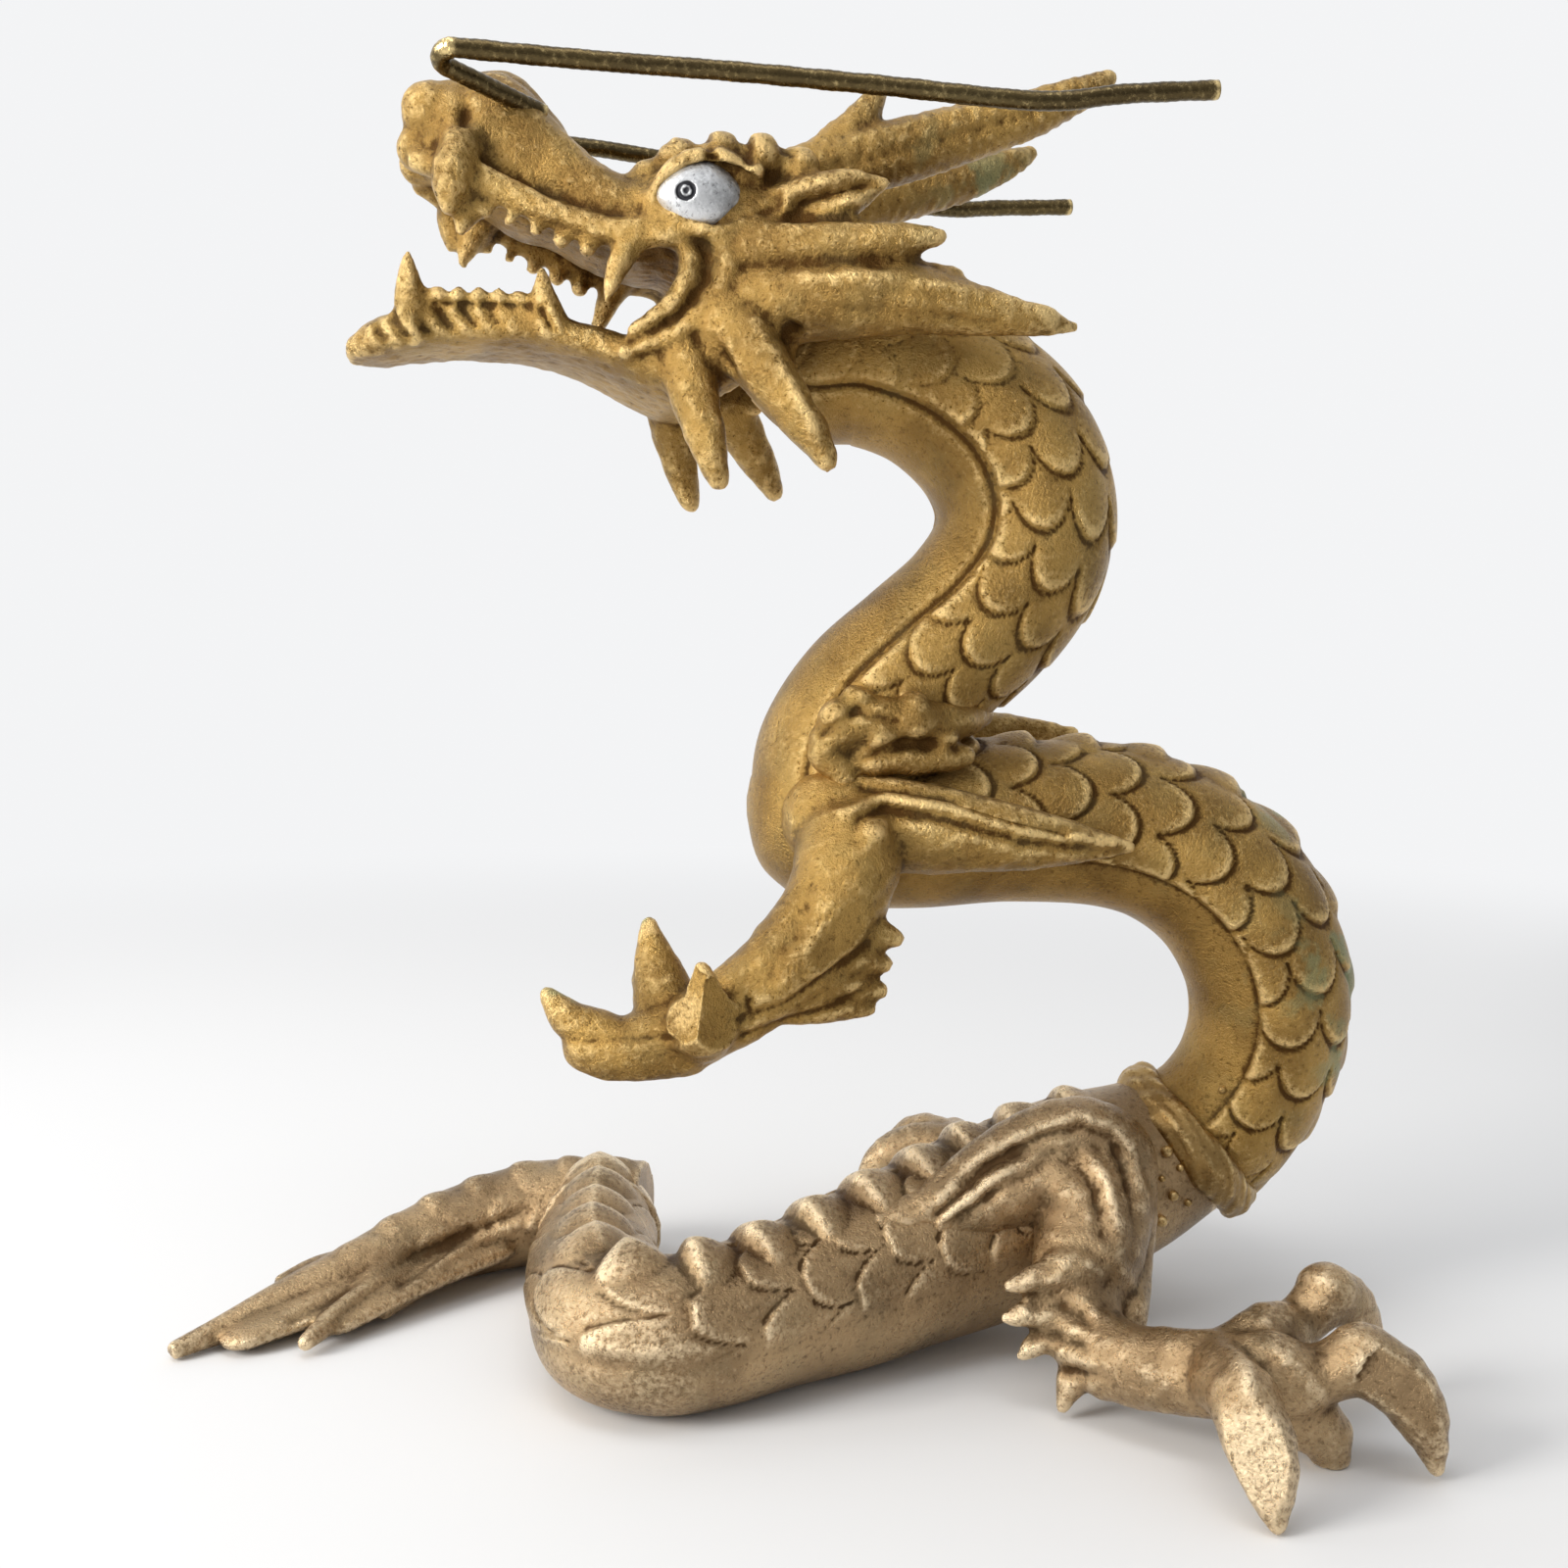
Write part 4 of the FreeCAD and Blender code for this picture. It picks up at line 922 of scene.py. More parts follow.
HIND_FLAME = [
    ([(26, 22, 22), (40, 24, 28), (52, 24, 31), (58, 24, 26)], 1.1, -1.2),
    ([(30, 22, 20), (42, 24, 24.6), (50, 24, 26.6), (54, 24, 22)], 1.1, -1.1),
]
right_foreleg = leg_casting("right_foreleg_casting", RIGHT_FORELEG, FORE_FLAME, seed=23)
right_hind = leg_casting("right_hind_leg_casting", RIGHT_HIND_LEG, HIND_FLAME, seed=24)

# %% [markdown]
# The horns are two castings that sit in the back of the head, each with one short branch.  They are
# mirror images, so one set of rows is built twice and turned with the head.
# %% The horns
HORN = [
    [(-3, 10.6, 196.4, 5.2), (6, 12.6, 199.4, 5.4), (21.4, 15.6, 203.4, 4.9), (37, 17.8, 208, 3.8),
     (46, 19, 211.8, 2.6), (50, 19.6, 213.8, 1.4)],
    [(4, 12.4, 200, 4.4), (9.6, 13.4, 206, 3.2), (13.4, 13.9, 212.4, 1.4)],
]
HORN_LINES = [
    ([(6, 20, 198.6), (22, 22, 202.4), (36, 22, 207), (46, 21, 211)], 1.3, -0.6),
    ([(8, 20, 202.6), (22, 22, 206.6), (36, 22, 210.6)], 0.9, 0.5),
    ([(2, 20, 204), (9, 19, 210)], 0.9, -0.7),
]
horns = {}
for side, sign in (("left", -1), ("right", 1)):
    limbs = [wax_limb(rows, guide=(0, 0, 1)) for rows in HORN]
    horn = fuse_wax(f"{side}_horn_casting", limbs, voxel=0.5)
    carve(horn, HORN_LINES, 0.35)
    points = roughened(horn, size=2.6, rise=0.12, seed=31)
    write_points(horn, turned(points * (1, sign, 1)))
    if sign < 0:
        face_out(horn)
    horns[side] = horn

# %% [markdown]
# Each whisker is a bent wire, so it is a plain round sweep with a hairpin near the snout.  It turns
# in its drilled hole, and it carries a few dents from the pliers that bent it.
# %% The whiskers
WIRE_RADIUS = 1.47
HOLE_TIPWARD = np.array((-10.2, 6.4, 2.2))
HOLE_DEPTH = 7.5
STRAIGHT_END = 6
HAIRPIN_CORNER = 18.7
HAIRPIN_RADIUS = 2.46
WHISKER_ROUTE = [
    (-34, 20.8, 211.1), (-10.4, 24, 209.6), (10.4, 27, 207.9), (34.6, 30, 206.0), (48.1, 32, 207.2),
    (62.6, 33, 208.3),
]


def wire_back(tangent):
    """Any steady direction will do, as long as no stretch of the wire points along it."""
    return np.tile((0.1, 0.2, 1.0), (len(tangent), 1))


def wire_height(along, across, turn, length):
    dents = 0.05 * np.sin(along * 0.9) * np.cos(turn * 2 + along * 0.05)
    return dents + 0.03 * np.sin(along * 4.1 + turn * 3)


def hairpin(before, corner, after):
    """Points round the tight bend that replaces the corner."""
    back, onward = unit_rows(before - corner), unit_rows(after - corner)
    half = math.acos(back @ onward) / 2
    centre = corner + unit_rows(back + onward) * HAIRPIN_RADIUS / math.sin(half)
    start = corner + back * HAIRPIN_RADIUS / math.tan(half)
    first, second = unit_rows(start - centre), unit_rows(corner - centre)
    second = unit_rows(second - first * (second @ first))
    spots = np.linspace(0, math.pi - 2 * half, 9)
    return centre + HAIRPIN_RADIUS * (np.cos(spots)[:, None] * first + np.sin(spots)[:, None] * second)


def whisker(name, sign):
    """The wire from the bottom of its hole, round the hairpin and back to the tip."""
    mouth, tipward = np.array(HOLE_MOUTH), unit_rows(HOLE_TIPWARD)
    corner = mouth + tipward * HAIRPIN_CORNER
    loop = hairpin(mouth, corner, np.array(WHISKER_ROUTE[0]))
    straight_end = [mouth - tipward * HOLE_DEPTH, mouth, mouth + tipward * STRAIGHT_END]
    rows = np.vstack([*straight_end, loop, WHISKER_ROUTE])
    rows = rows * (1, sign, 1)
    rows = np.hstack([turned(rows), np.full((len(rows), 1), WIRE_RADIUS)])
    return sweep(name, rows, wire_back, wire_height, 0.4, 40)


left_wire = whisker("left_whisker_wire", -1)
right_wire = whisker("right_whisker_wire", 1)

# %% [markdown]
# The last tail piece carries a fin of three prongs.  They are pressed onto the swept piece as wax
# and the two are fused, so the scales stay.
# %% The tail fin
TAIL_FIN = [
    [(-66, 22, 7.4, 4.4), (-75, 8, 5.6, 3.4), (-82.6, -10.6, 2.4, 1.5)],
    [(-57, 26, 7.6, 4.4), (-65, 14, 6.0, 3.2), (-72.4, 2.6, 2.4, 1.5)],
    [(-74, 17, 6.6, 3.8), (-86, 12, 6.8, 2.6), (-92, 6.6, 6.4, 1.4)],
]
TAIL_WEB = [
    [(-66, 21, 6.4, 7.0), (-83, 4, 4.2, 6.6), (-94, -7, 2.4, 4.8)],
    [(-58, 24, 6.6, 7.0), (-70, 11, 4.8, 6.2), (-79, -2, 2.8, 4.4)],
]
WEB_FLATNESS = 0.42
TAIL_LINES = [
    ([(-60, 20, 11), (-74, 8, 8), (-86, -6, 5)], 1.2, -1.0),
    ([(-50, 24, 14), (-62, 16, 10.6), (-70, 6, 7)], 1.2, -1.0),
]


def fused_with(thing, limbs, voxel):
    """One skin over a finished piece and some wax limbs."""
    wax = one_mesh("wax", limbs)
    deselect()
    wax.select_set(True)
    thing.select_set(True)
    bpy.context.view_layer.objects.active = thing
    bpy.ops.object.join()
    apply_modifier(thing, "REMESH", mode="VOXEL", voxel_size=voxel * MM)
    soften(thing, 2)
    print(thing.name, len(thing.data.polygons), "faces")


fin = [wax_limb(rows) for rows in TAIL_FIN]
fin += [wax_limb(rows, WEB_FLATNESS, guide=(1, -0.9, 0)) for rows in TAIL_WEB]
fused_with(tail, fin, 0.5)
carve(tail, TAIL_LINES, 0.6)

# %% [markdown]
# The body is brazed at the waist with a thick rippled bead.  A torus would be too regular, so three
# runs of filler lie side by side round the joint.  They are fused, softened and given slanting
# ripples.
# %% The waist braze
WAIST_CENTRE = np.array((74.2, 11, 31.6))
WAIST_WAY = unit_rows(np.array((-6.2, 0.0, -5.2)))
WAIST_RADIUS = 14.4


def bead_rows(centre, way, radius, start, stop, count, thick):
    """A line round an axis, given as angles from straight up, with a thickness for each angle."""
    up = unit_rows(np.array((0, 0, 1.0)) - way * way[2])
    side = np.cross(way, up)
    rows = []
    for angle in np.linspace(start, stop, count):
        place = centre + radius * (up * math.cos(angle) + side * math.sin(angle))
        rows.append((*place, thick(angle)))
    return rows


def waist_thickness(angle):
    """The filler swells and shrinks as the torch went round."""
    return 2.1 + 0.3 * math.sin(angle * 3) + 0.2 * math.sin(angle * 7 + 1)


BEAD_PASSES = (-1.9, 0.0, 1.7)
BEAD_VOXEL = 0.45


def waist_bead_casting():
    """Three runs of filler side by side round the joint, fused and brushed with slanting ripples."""
    runs = []
    for number, offset in enumerate(BEAD_PASSES):
        centre = WAIST_CENTRE + WAIST_WAY * offset
        radius = WAIST_RADIUS - 0.3 * abs(offset)
        rows = bead_rows(centre, WAIST_WAY, radius, number, number + 2 * math.pi, 48, waist_thickness)
        runs.append(wax_limb(rows, around=20))
    bead = fuse_wax("waist_braze_bead", runs, BEAD_VOXEL, rounds=9)
    points = read_points(bead)
    slant = points @ np.array((1.6, 0.9, 0.4))
    ripple = 0.07 * np.sin(slant * 1.9) + 0.1 * np.sin(slant * 0.7 + points[:, 1])
    write_points(bead, points + vertex_normals(bead) * ripple[:, None])
    return bead


waist_bead = waist_bead_casting()

# %% [markdown]
# One run of filler joins the tail loop to the last tail piece.  A torus could stand for it, but its
# section would be too even, so it is a wax limb round the joint, roughened and pressed on the
# ground.
# %% The tail braze
TAIL_JOINT = np.array((-35.3, 19.7, 10.3))
TAIL_JOINT_WAY = unit_rows(np.array((-0.067, 0.998, -0.008)))


def tail_bead_casting():
    """One run of filler round the joint of the tail loop and the last tail piece."""
    rows = bead_rows(TAIL_JOINT, TAIL_JOINT_WAY, 10.4, 0, 2 * math.pi, 40, lambda angle: 1.4)
    bead = fuse_wax("tail_braze_bead", [wax_limb(rows, around=20)], BEAD_VOXEL)
    write_points(bead, roughened(bead, size=3.0, rise=0.12, seed=43))
    return bead


tail_bead = tail_bead_casting()

# %% [markdown]
# Small balls of braze froze on the hip beside the bead.  They could be scattered at random, but a
# braze throws them to one side, so their places are listed.  A level line finds the skin at each
# place.
# %% The spatter
SPATTER = [
    (63.1, 35.7, 0.75), (67.2, 33.9, 0.9), (69.5, 31.1, 0.6), (68.1, 26.5, 0.8), (71.1, 24.7, 0.6),
    (65.9, 22.2, 0.9), (61.4, 30.2, 0.5), (66, 29.6, 0.5), (64, 26, 0.45), (77.4, 44.2, 0.6),
    (76, 27.4, 0.6), (58, 46, 0.6),
]
PROUD, GROWTH = 0.4, 1.2
NEAR_SIDE = -60


def spatter_balls():
    """Half-sunk balls wherever a level line from the near side first meets the hip or the torso."""
    trees = [bvhtree.BVHTree.FromPolygons(read_points(thing).tolist(),
                                          [list(face.vertices) for face in thing.data.polygons])
             for thing in (rear, torso)]
    made = []
    for x, z, radius in SPATTER:
        hits = [tree.ray_cast(Vector((x, NEAR_SIDE, z)), Vector((0, 1, 0)))[0] for tree in trees]
        hits = [hit for hit in hits if hit is not None]
        if hits:
            spot = min(hits, key=lambda hit: hit.y)
            made.append(wax_ball(spot.x, spot.y - radius * PROUD, spot.z, radius * GROWTH))
    balls = one_mesh("braze_spatter", made)
    face_out(balls)
    print("spatter balls:", len(made))
    return balls


spatter = spatter_balls()

# %% [markdown]
# The crease between neck and chest is filled with rough lumps of braze.  Noise alone would make it
# look like gravel, so a few limbs and balls give the large lumps and a light roughness goes over
# them.
# %% The chest braze
CHEST_FILLER = [
    [(10, -16.4, 100.8, 2.6), (7, -15.6, 106, 3.6), (14, -15.4, 109.6, 4.0), (22, -14, 109.4, 4.4),
     (29, -10.4, 109.6, 3.2), (33, -4, 110.4, 2.6), (34.6, 2, 110.6, 2.2)],
    [(14, -16, 104, 3.2), (22, -15.4, 103.4, 2.6), (30, -13, 104, 2.0)],
]
CHEST_LUMPS = [
    (9, -16.2, 110.2, 3.6), (16, -16.6, 107.2, 3.4), (21, -15.6, 112, 3.0), (25.6, -14.2, 106.4, 3.2),
    (12, -15.6, 113.2, 2.8),
]
CHEST_LINES = [
    ([(6, -18, 108), (12, -18, 111.6), (18, -18, 110)], 0.9, -0.8),
    ([(13, -19, 104), (20, -18, 106.6), (28, -15, 105.6)], 1.0, -0.9),
]
chest_wax = [wax_limb(rows) for rows in CHEST_FILLER] + [wax_ball(*lump) for lump in CHEST_LUMPS]
filler = fuse_wax("chest_braze_filler", chest_wax, voxel=0.5)
carve(filler, CHEST_LINES, 0.4)
write_points(filler, roughened(filler, size=4.4, rise=0.16, seed=41))

# %% [markdown]
# The eyes are cast bulges that the painter picked out in silver, with a ring struck round the pupil
# by a hollow punch.  The ring could be a texture, but it is a dent in the metal, so it is pressed
# into the mesh, a little harder on two sides than on the others.
# %% The eyes
EYE = np.array((-16.4, 17.5, 192.3))
EYE_SIZE = np.array((7.1, 4.3, 5.7))
PUPIL = np.array((-19.2, 21.0, 192.3))
PUPIL_RADIUS = 1.2
RING_WIDTH, DOT_WIDTH, PUNCH_DEPTH = 0.34, 0.5, 0.4
LID_FALL = 0.35


def eye(name, sign):
    """An oval bulge, and how deep the punch struck each of its points."""
    bpy.ops.mesh.primitive_ico_sphere_add(subdivisions=7, radius=1)
    thing = bpy.context.object
    thing.name = name
    flat = np.empty(len(thing.data.vertices) * 3)
    thing.data.vertices.foreach_get("co", flat)
    ball = flat.reshape(-1, 3)
    ball[:, 2] *= 1 - LID_FALL * ball[:, 0] ** 2
    points = EYE + ball * EYE_SIZE
    away = np.hypot(points[:, 0] - PUPIL[0], points[:, 2] - PUPIL[2])
    round_it = np.arctan2(points[:, 2] - PUPIL[2], points[:, 0] - PUPIL[0])
    force = 0.75 + 0.25 * np.sin(round_it * 2 + 0.7)
    struck = force * np.exp(-((away - PUPIL_RADIUS) / RING_WIDTH) ** 2)
    struck = struck + 0.7 * np.exp(-(away / DOT_WIDTH) ** 2)
    struck = np.where(ball[:, 1] > 0, struck, 0)
    points[:, 1] -= PUNCH_DEPTH * struck
    write_points(thing, turned(points * (1, sign, 1)))
    face_out(thing)
    return thing, struck


left_eye, left_struck = eye("left_eye", -1)
right_eye, right_struck = eye("right_eye", 1)
print("eye size in mm:", np.round(np.ptp(read_points(left_eye), axis=0), 1))

# %% [markdown]
# The maker filed the feet and the tail loop flat until the figure stood still.  The same is done
# here: points past the ground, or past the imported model's outer size, go back onto its faces.
# %% Flat on the ground
FIGURE_LOW = np.array(cad_low) / MM - SHIFT
FIGURE_HIGH = np.array(cad_high) / MM - SHIFT


def press_flat(thing):
    """Files a casting back to the ground and to the figure's outer size."""
    write_points(thing, np.clip(read_points(thing), FIGURE_LOW, FIGURE_HIGH))


for thing in (torso, rear, tail, tail_bead, left_hind, right_hind):
    press_flat(thing)
print("outer size in mm:", np.round(FIGURE_HIGH - FIGURE_LOW, 1))

# %% [markdown]
# Green patina grows where the paint is thin: on the back of the torso, the horns, the ear tips and
# one claw.  A noise alone would put it anywhere, so every piece carries a stain attribute, which is
# strong round the listed spots and fades with the distance from them.
# %% Stain attribute
STAINS = [
    (96, 0, 66, 12), (92, 2, 78, 9), (100, 4, 50, 9), (40, 18, 204, 9), (28, -24, 196, 8),
    (12, -26, 194, 3), (-22, -23, 77, 2.6), (84, 6, 92, 8), (94, -30, 15, 5), (-36, -30, 66, 3),
    (-4, -30, 88, 3),
]


def mark_stain(thing):
    """Stores how strongly patina grows at each point."""
    points = read_points(thing)
    amount = np.zeros(len(points))
    for x, y, z, reach in STAINS:
        away = np.linalg.norm(points - (x, y, z), axis=1)
        amount = np.maximum(amount, np.exp(-(away / reach) ** 2))
    layer = thing.data.attributes.new("stain", "FLOAT", "POINT")
    layer.data.foreach_set("value", amount.astype(np.float32))

# %% [markdown]
# The paint is built from few kinds of node, so each kind gets a small helper.  With them a chain of
# nodes reads like a formula.
# %% Node helpers
def new_group(name, inputs, outputs):
    """An empty node group with its sockets."""
    group = bpy.data.node_groups.new(name, "ShaderNodeTree")
    for label, kind, value in inputs:
        socket = group.interface.new_socket(label, in_out="INPUT", socket_type=kind)
        socket.default_value = value
    for label, kind in outputs:
        group.interface.new_socket(label, in_out="OUTPUT", socket_type=kind)
    return group, group.nodes.new("NodeGroupInput"), group.nodes.new("NodeGroupOutput")


def noise_node(tree, place, scale, detail, roughness=0.55):
    """Cloudy noise from 0 to 1."""
    node = tree.nodes.new("ShaderNodeTexNoise")
    node.inputs["Scale"].default_value = scale
    node.inputs["Detail"].default_value = detail
    node.inputs["Roughness"].default_value = roughness
    tree.links.new(place, node.inputs["Vector"])
    return node.outputs["Fac"]


def ramp_node(tree, value, low, high):
    """A soft step from 0 at low to 1 at high."""
    node = tree.nodes.new("ShaderNodeMapRange")
    node.interpolation_type = "SMOOTHSTEP"
    node.inputs["From Min"].default_value = low
    node.inputs["From Max"].default_value = high
    tree.links.new(value, node.inputs["Value"])
    return node.outputs["Result"]


def feed(tree, sockets, values):
    """Links each value that is another node's output, and types in the others."""
    for socket, value in zip(sockets, values):
        if hasattr(value, "is_output"):
            tree.links.new(value, socket)
        else:
            socket.default_value = value


def mix_colour(tree, share, first, second):
    """The first colour, with a share of the second."""
    node = tree.nodes.new("ShaderNodeMix")
    node.data_type = "RGBA"
    feed(tree, (node.inputs[0], node.inputs[6], node.inputs[7]), (share, first, second))
    return node.outputs[2]


def maths(tree, operation, first, second):
    """One sum on two numbers."""
    node = tree.nodes.new("ShaderNodeMath")
    node.operation = operation
    feed(tree, node.inputs, (first, second))
    return node.outputs[0]


def attribute_node(tree, name):
    """A value that the mesh carries at each point."""
    node = tree.nodes.new("ShaderNodeAttribute")
    node.attribute_name = name
    return node.outputs["Fac"]

# %% [markdown]
# Gold paint on rough brass is pale where it is worn and pitted all over; recesses get painted brown
# shade.
# One node group gives colour, roughness and height from the relief, the stain and a few noises, and
# each finish uses it with colours of its own.  Four separate materials would repeat the same nodes.
# %% Paint group
# The first range is where the painted shade of the recesses fades out.
RECESS_SHADE_RANGE, WORN_RANGE, BLOTCH_RANGE = (0.22, 0.52), (0.56, 0.92), (0.38, 0.62)
PIT_RANGE, PATCH_RANGE = (0.3, 0.46), (0.5, 0.6)
STAIN_STRENGTH, GREEN_LIMIT = 0.8, 0.75


def build_paint_group():
    """Inputs are the finish's colours and amounts; relief comes from the mesh."""
    colour = "NodeSocketColor"
    number = "NodeSocketFloat"
    # The third colour is the painted shade of the recesses, and it also tints the blotches and the
    # pits.
    inputs = [
        ("Paint", colour, (0.5, 0.33, 0.12, 1)), ("Worn", colour, (0.8, 0.62, 0.32, 1)),
        ("Shade And Pits", colour, (0.16, 0.09, 0.03, 1)), ("Patina", colour, (0.35, 0.38, 0.2, 1)),
        ("Patina Amount", number, 0.3), ("Grain", number, 1.0), ("Gloss", number, 0.36),
    ]
    outputs = [("Colour", colour), ("Roughness", number), ("Height", number)]
    group, start, end = new_group("cast_paint", inputs, outputs)
    coords = group.nodes.new("ShaderNodeTexCoord").outputs["Object"]
    blotch = noise_node(group, coords, 70, 6)
    speckle = noise_node(group, coords, 1100, 4, 0.7)
    grain = noise_node(group, coords, 2200, 3, 0.75)
    noisy = maths(group, "MULTIPLY", maths(group, "SUBTRACT", speckle, 0.5), 0.7)
    uneven = maths(group, "ADD", attribute_node(group, "relief"), noisy)
    # deep marks the recesses: it darkens them with painted shade and makes them a little rougher.
    deep = maths(group, "SUBTRACT", 1.0, ramp_node(group, uneven, *RECESS_SHADE_RANGE))
    worn = ramp_node(group, uneven, *WORN_RANGE)
    warm = mix_colour(group, 0.5, start.outputs["Paint"], start.outputs["Shade And Pits"])
    base = mix_colour(group, ramp_node(group, blotch, *BLOTCH_RANGE), warm, start.outputs["Paint"])
    base = mix_colour(group, worn, base, start.outputs["Worn"])
    # Painted shade: the recesses take the dark shade colour.
    base = mix_colour(group, deep, base, start.outputs["Shade And Pits"])
    pits = maths(group, "SUBTRACT", 1.0, ramp_node(group, speckle, *PIT_RANGE))
    base = mix_colour(group, maths(group, "MULTIPLY", pits, 0.45), base, start.outputs["Shade And Pits"])
    patches = ramp_node(group, noise_node(group, coords, 110, 6), *PATCH_RANGE)
    stained = maths(group, "MULTIPLY", attribute_node(group, "stain"), STAIN_STRENGTH)
    spread = maths(group, "ADD", stained, start.outputs["Patina Amount"])
    green = maths(group, "MINIMUM", maths(group, "MULTIPLY", patches, spread), GREEN_LIMIT)
    base = mix_colour(group, green, base, start.outputs["Patina"])
    group.links.new(base, end.inputs["Colour"])
    rough = maths(group, "ADD", start.outputs["Gloss"],
                  maths(group, "MULTIPLY", maths(group, "SUBTRACT", speckle, 0.45), 0.35))
    rough = maths(group, "ADD", rough, maths(group, "MULTIPLY", deep, 0.2))
    group.links.new(rough, end.inputs["Roughness"])
    tall = maths(group, "MULTIPLY", maths(group, "ADD", grain, speckle), start.outputs["Grain"])
    group.links.new(tall, end.inputs["Height"])
    return group


PAINT_GROUP = build_paint_group()
print("nodes in the paint group:", len(PAINT_GROUP.nodes))

# %% [markdown]
# The upper castings are a deep gold, the lower ones a paler champagne gold.  The wires are darker,
# the waist bead is closer to bare brass, and the eyes are silver.  Each finish is one call.
# %% Finishes
GRAIN_HEIGHT = 0.00022


def paint(name, colour, worn, shade_and_pits, patina, patina_amount, grain, gloss, metal=0.95):
    """A gold paint finish from the shared group."""
    made = bpy.data.materials.new(name)
    made.use_nodes = True
    tree = made.node_tree
    shader = tree.nodes["Principled BSDF"]
    node = tree.nodes.new("ShaderNodeGroup")
    node.node_tree = PAINT_GROUP
    for label, value in (("Paint", colour), ("Worn", worn), ("Shade And Pits", shade_and_pits), ("Patina", patina)):
        node.inputs[label].default_value = (*value, 1)
    node.inputs["Patina Amount"].default_value = patina_amount
    node.inputs["Grain"].default_value = grain
    node.inputs["Gloss"].default_value = gloss
    tree.links.new(node.outputs["Colour"], shader.inputs["Base Color"])
    tree.links.new(node.outputs["Roughness"], shader.inputs["Roughness"])
    shader.inputs["Metallic"].default_value = metal
    bump = tree.nodes.new("ShaderNodeBump")
    bump.inputs["Distance"].default_value = GRAIN_HEIGHT
    bump.inputs["Strength"].default_value = 1.0
    tree.links.new(node.outputs["Height"], bump.inputs["Height"])
    tree.links.new(bump.outputs["Normal"], shader.inputs["Normal"])
    return made


# Each finish's third colour is its painted shade for the recesses, also used in the blotches and pits.
GOLD = paint("gold_paint", (0.44, 0.27, 0.078), (0.82, 0.58, 0.25), (0.1, 0.048, 0.012),
             (0.27, 0.31, 0.16), 0.06, 1.0, 0.3)
CHAMPAGNE = paint("champagne_paint", (0.47, 0.325, 0.175), (0.86, 0.68, 0.44), (0.1, 0.056, 0.024),
                  (0.28, 0.28, 0.18), 0.08, 0.8, 0.27)
WIRE = paint("wire_paint", (0.12, 0.085, 0.035), (0.74, 0.56, 0.26), (0.06, 0.042, 0.02),
             (0.12, 0.1, 0.05), 0.05, 0.2, 0.22)
BRAZE = paint("braze_paint", (0.44, 0.285, 0.105), (0.84, 0.62, 0.3), (0.12, 0.062, 0.018),
              (0.3, 0.28, 0.12), 0.05, 0.35, 0.29)
SILVER = paint("silver_paint", (0.74, 0.75, 0.76), (0.93, 0.94, 0.95), (0.03, 0.03, 0.035),
               (0.5, 0.5, 0.52), 0.1, 0.4, 0.3, 0.75)

# %% [markdown]
# Each piece now gets its finish, hides the imported node that it stands for and rides on its body.
# The spatter and the eyes stand for no node, so nothing is hidden for them.
# %% Dressing the pieces
def dress(thing, material, node=None, slot=None, body="figure"):
    """Gives a piece its finish and its body, and hides the node that it stands for.  The slot argument
    is not used.
    """
    thing.data.materials.clear()
    thing.data.materials.append(material)
    mark_relief(thing)
    mark_stain(thing)
    if node:
        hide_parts(node)
    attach(thing, body)


GOLD_SLOT, CHAMPAGNE_SLOT = "gold_painted_casting", "champagne_gold_casting"
WIRE_SLOT, BEAD_SLOT = "painted_brass_wire", "braze_bead"
dressed = [
    (neck, GOLD, "neck", GOLD_SLOT),
    (torso, GOLD, "torso", GOLD_SLOT),
    (rear, CHAMPAGNE, "rear_body", CHAMPAGNE_SLOT),
    (tail, CHAMPAGNE, "tail_end", CHAMPAGNE_SLOT),
    (head, GOLD, "head", GOLD_SLOT),
    (left_foreleg, GOLD, "left_foreleg", GOLD_SLOT),
    (right_foreleg, GOLD, "right_foreleg", GOLD_SLOT),
    (left_hind, CHAMPAGNE, "left_hind_leg", CHAMPAGNE_SLOT),
    (right_hind, CHAMPAGNE, "right_hind_leg", CHAMPAGNE_SLOT),
    (horns["left"], GOLD, "left_horn", GOLD_SLOT),
    (horns["right"], GOLD, "right_horn", GOLD_SLOT),
    (left_wire, WIRE, "left_whisker", WIRE_SLOT, "left_whisker_wire"),
    (right_wire, WIRE, "right_whisker", WIRE_SLOT, "right_whisker_wire"),
    (waist_bead, BRAZE, "waist_braze", BEAD_SLOT),
    (filler, GOLD, "chest_braze", BEAD_SLOT),
    (tail_bead, CHAMPAGNE, "tail_braze", BEAD_SLOT),
    (spatter, BRAZE),
    (left_eye, SILVER),
    (right_eye, SILVER),
]
for row in dressed:
    dress(*row)
print("pieces dressed:", len(dressed))

# %% [markdown]
# Worked-out relief misreads a few places: a filed facet has no edges to be proud of, and the
# torso's round cap looks deep.  Their relief is given directly, and the struck rings are made dark.
# %% Touching up the paint
def darken_pupil(thing, struck):
    """The struck ring takes the dark recess colour, whatever its relief."""
    relief = np.clip(0.62 - struck, 0, 1)
    thing.data.attributes["relief"].data.foreach_set("value", relief.astype(np.float32))


def repaint_spot(thing, centre, reach, relief):
    """Pulls the relief round a spot to one value, so that the paint there is even."""
    layer = thing.data.attributes["relief"].data
    values = np.empty(len(layer), np.float32)
    layer.foreach_get("value", values)
    away = np.linalg.norm(read_points(thing) - centre, axis=1)
    share = 1 / (1 + np.exp((away - reach) * 2.0))
    layer.foreach_set("value", (values * (1 - share) + relief * share).astype(np.float32))


repaint_spot(torso, (-2, 0, 93), 19, 0.52)
repaint_spot(left_hind, (66.2, -65, 9), 7.6, 0.77)
repaint_spot(left_foreleg, (-15.6, -38.4, 66.4), 3.4, 0.76)
darken_pupil(left_eye, left_struck)
darken_pupil(right_eye, right_struck)

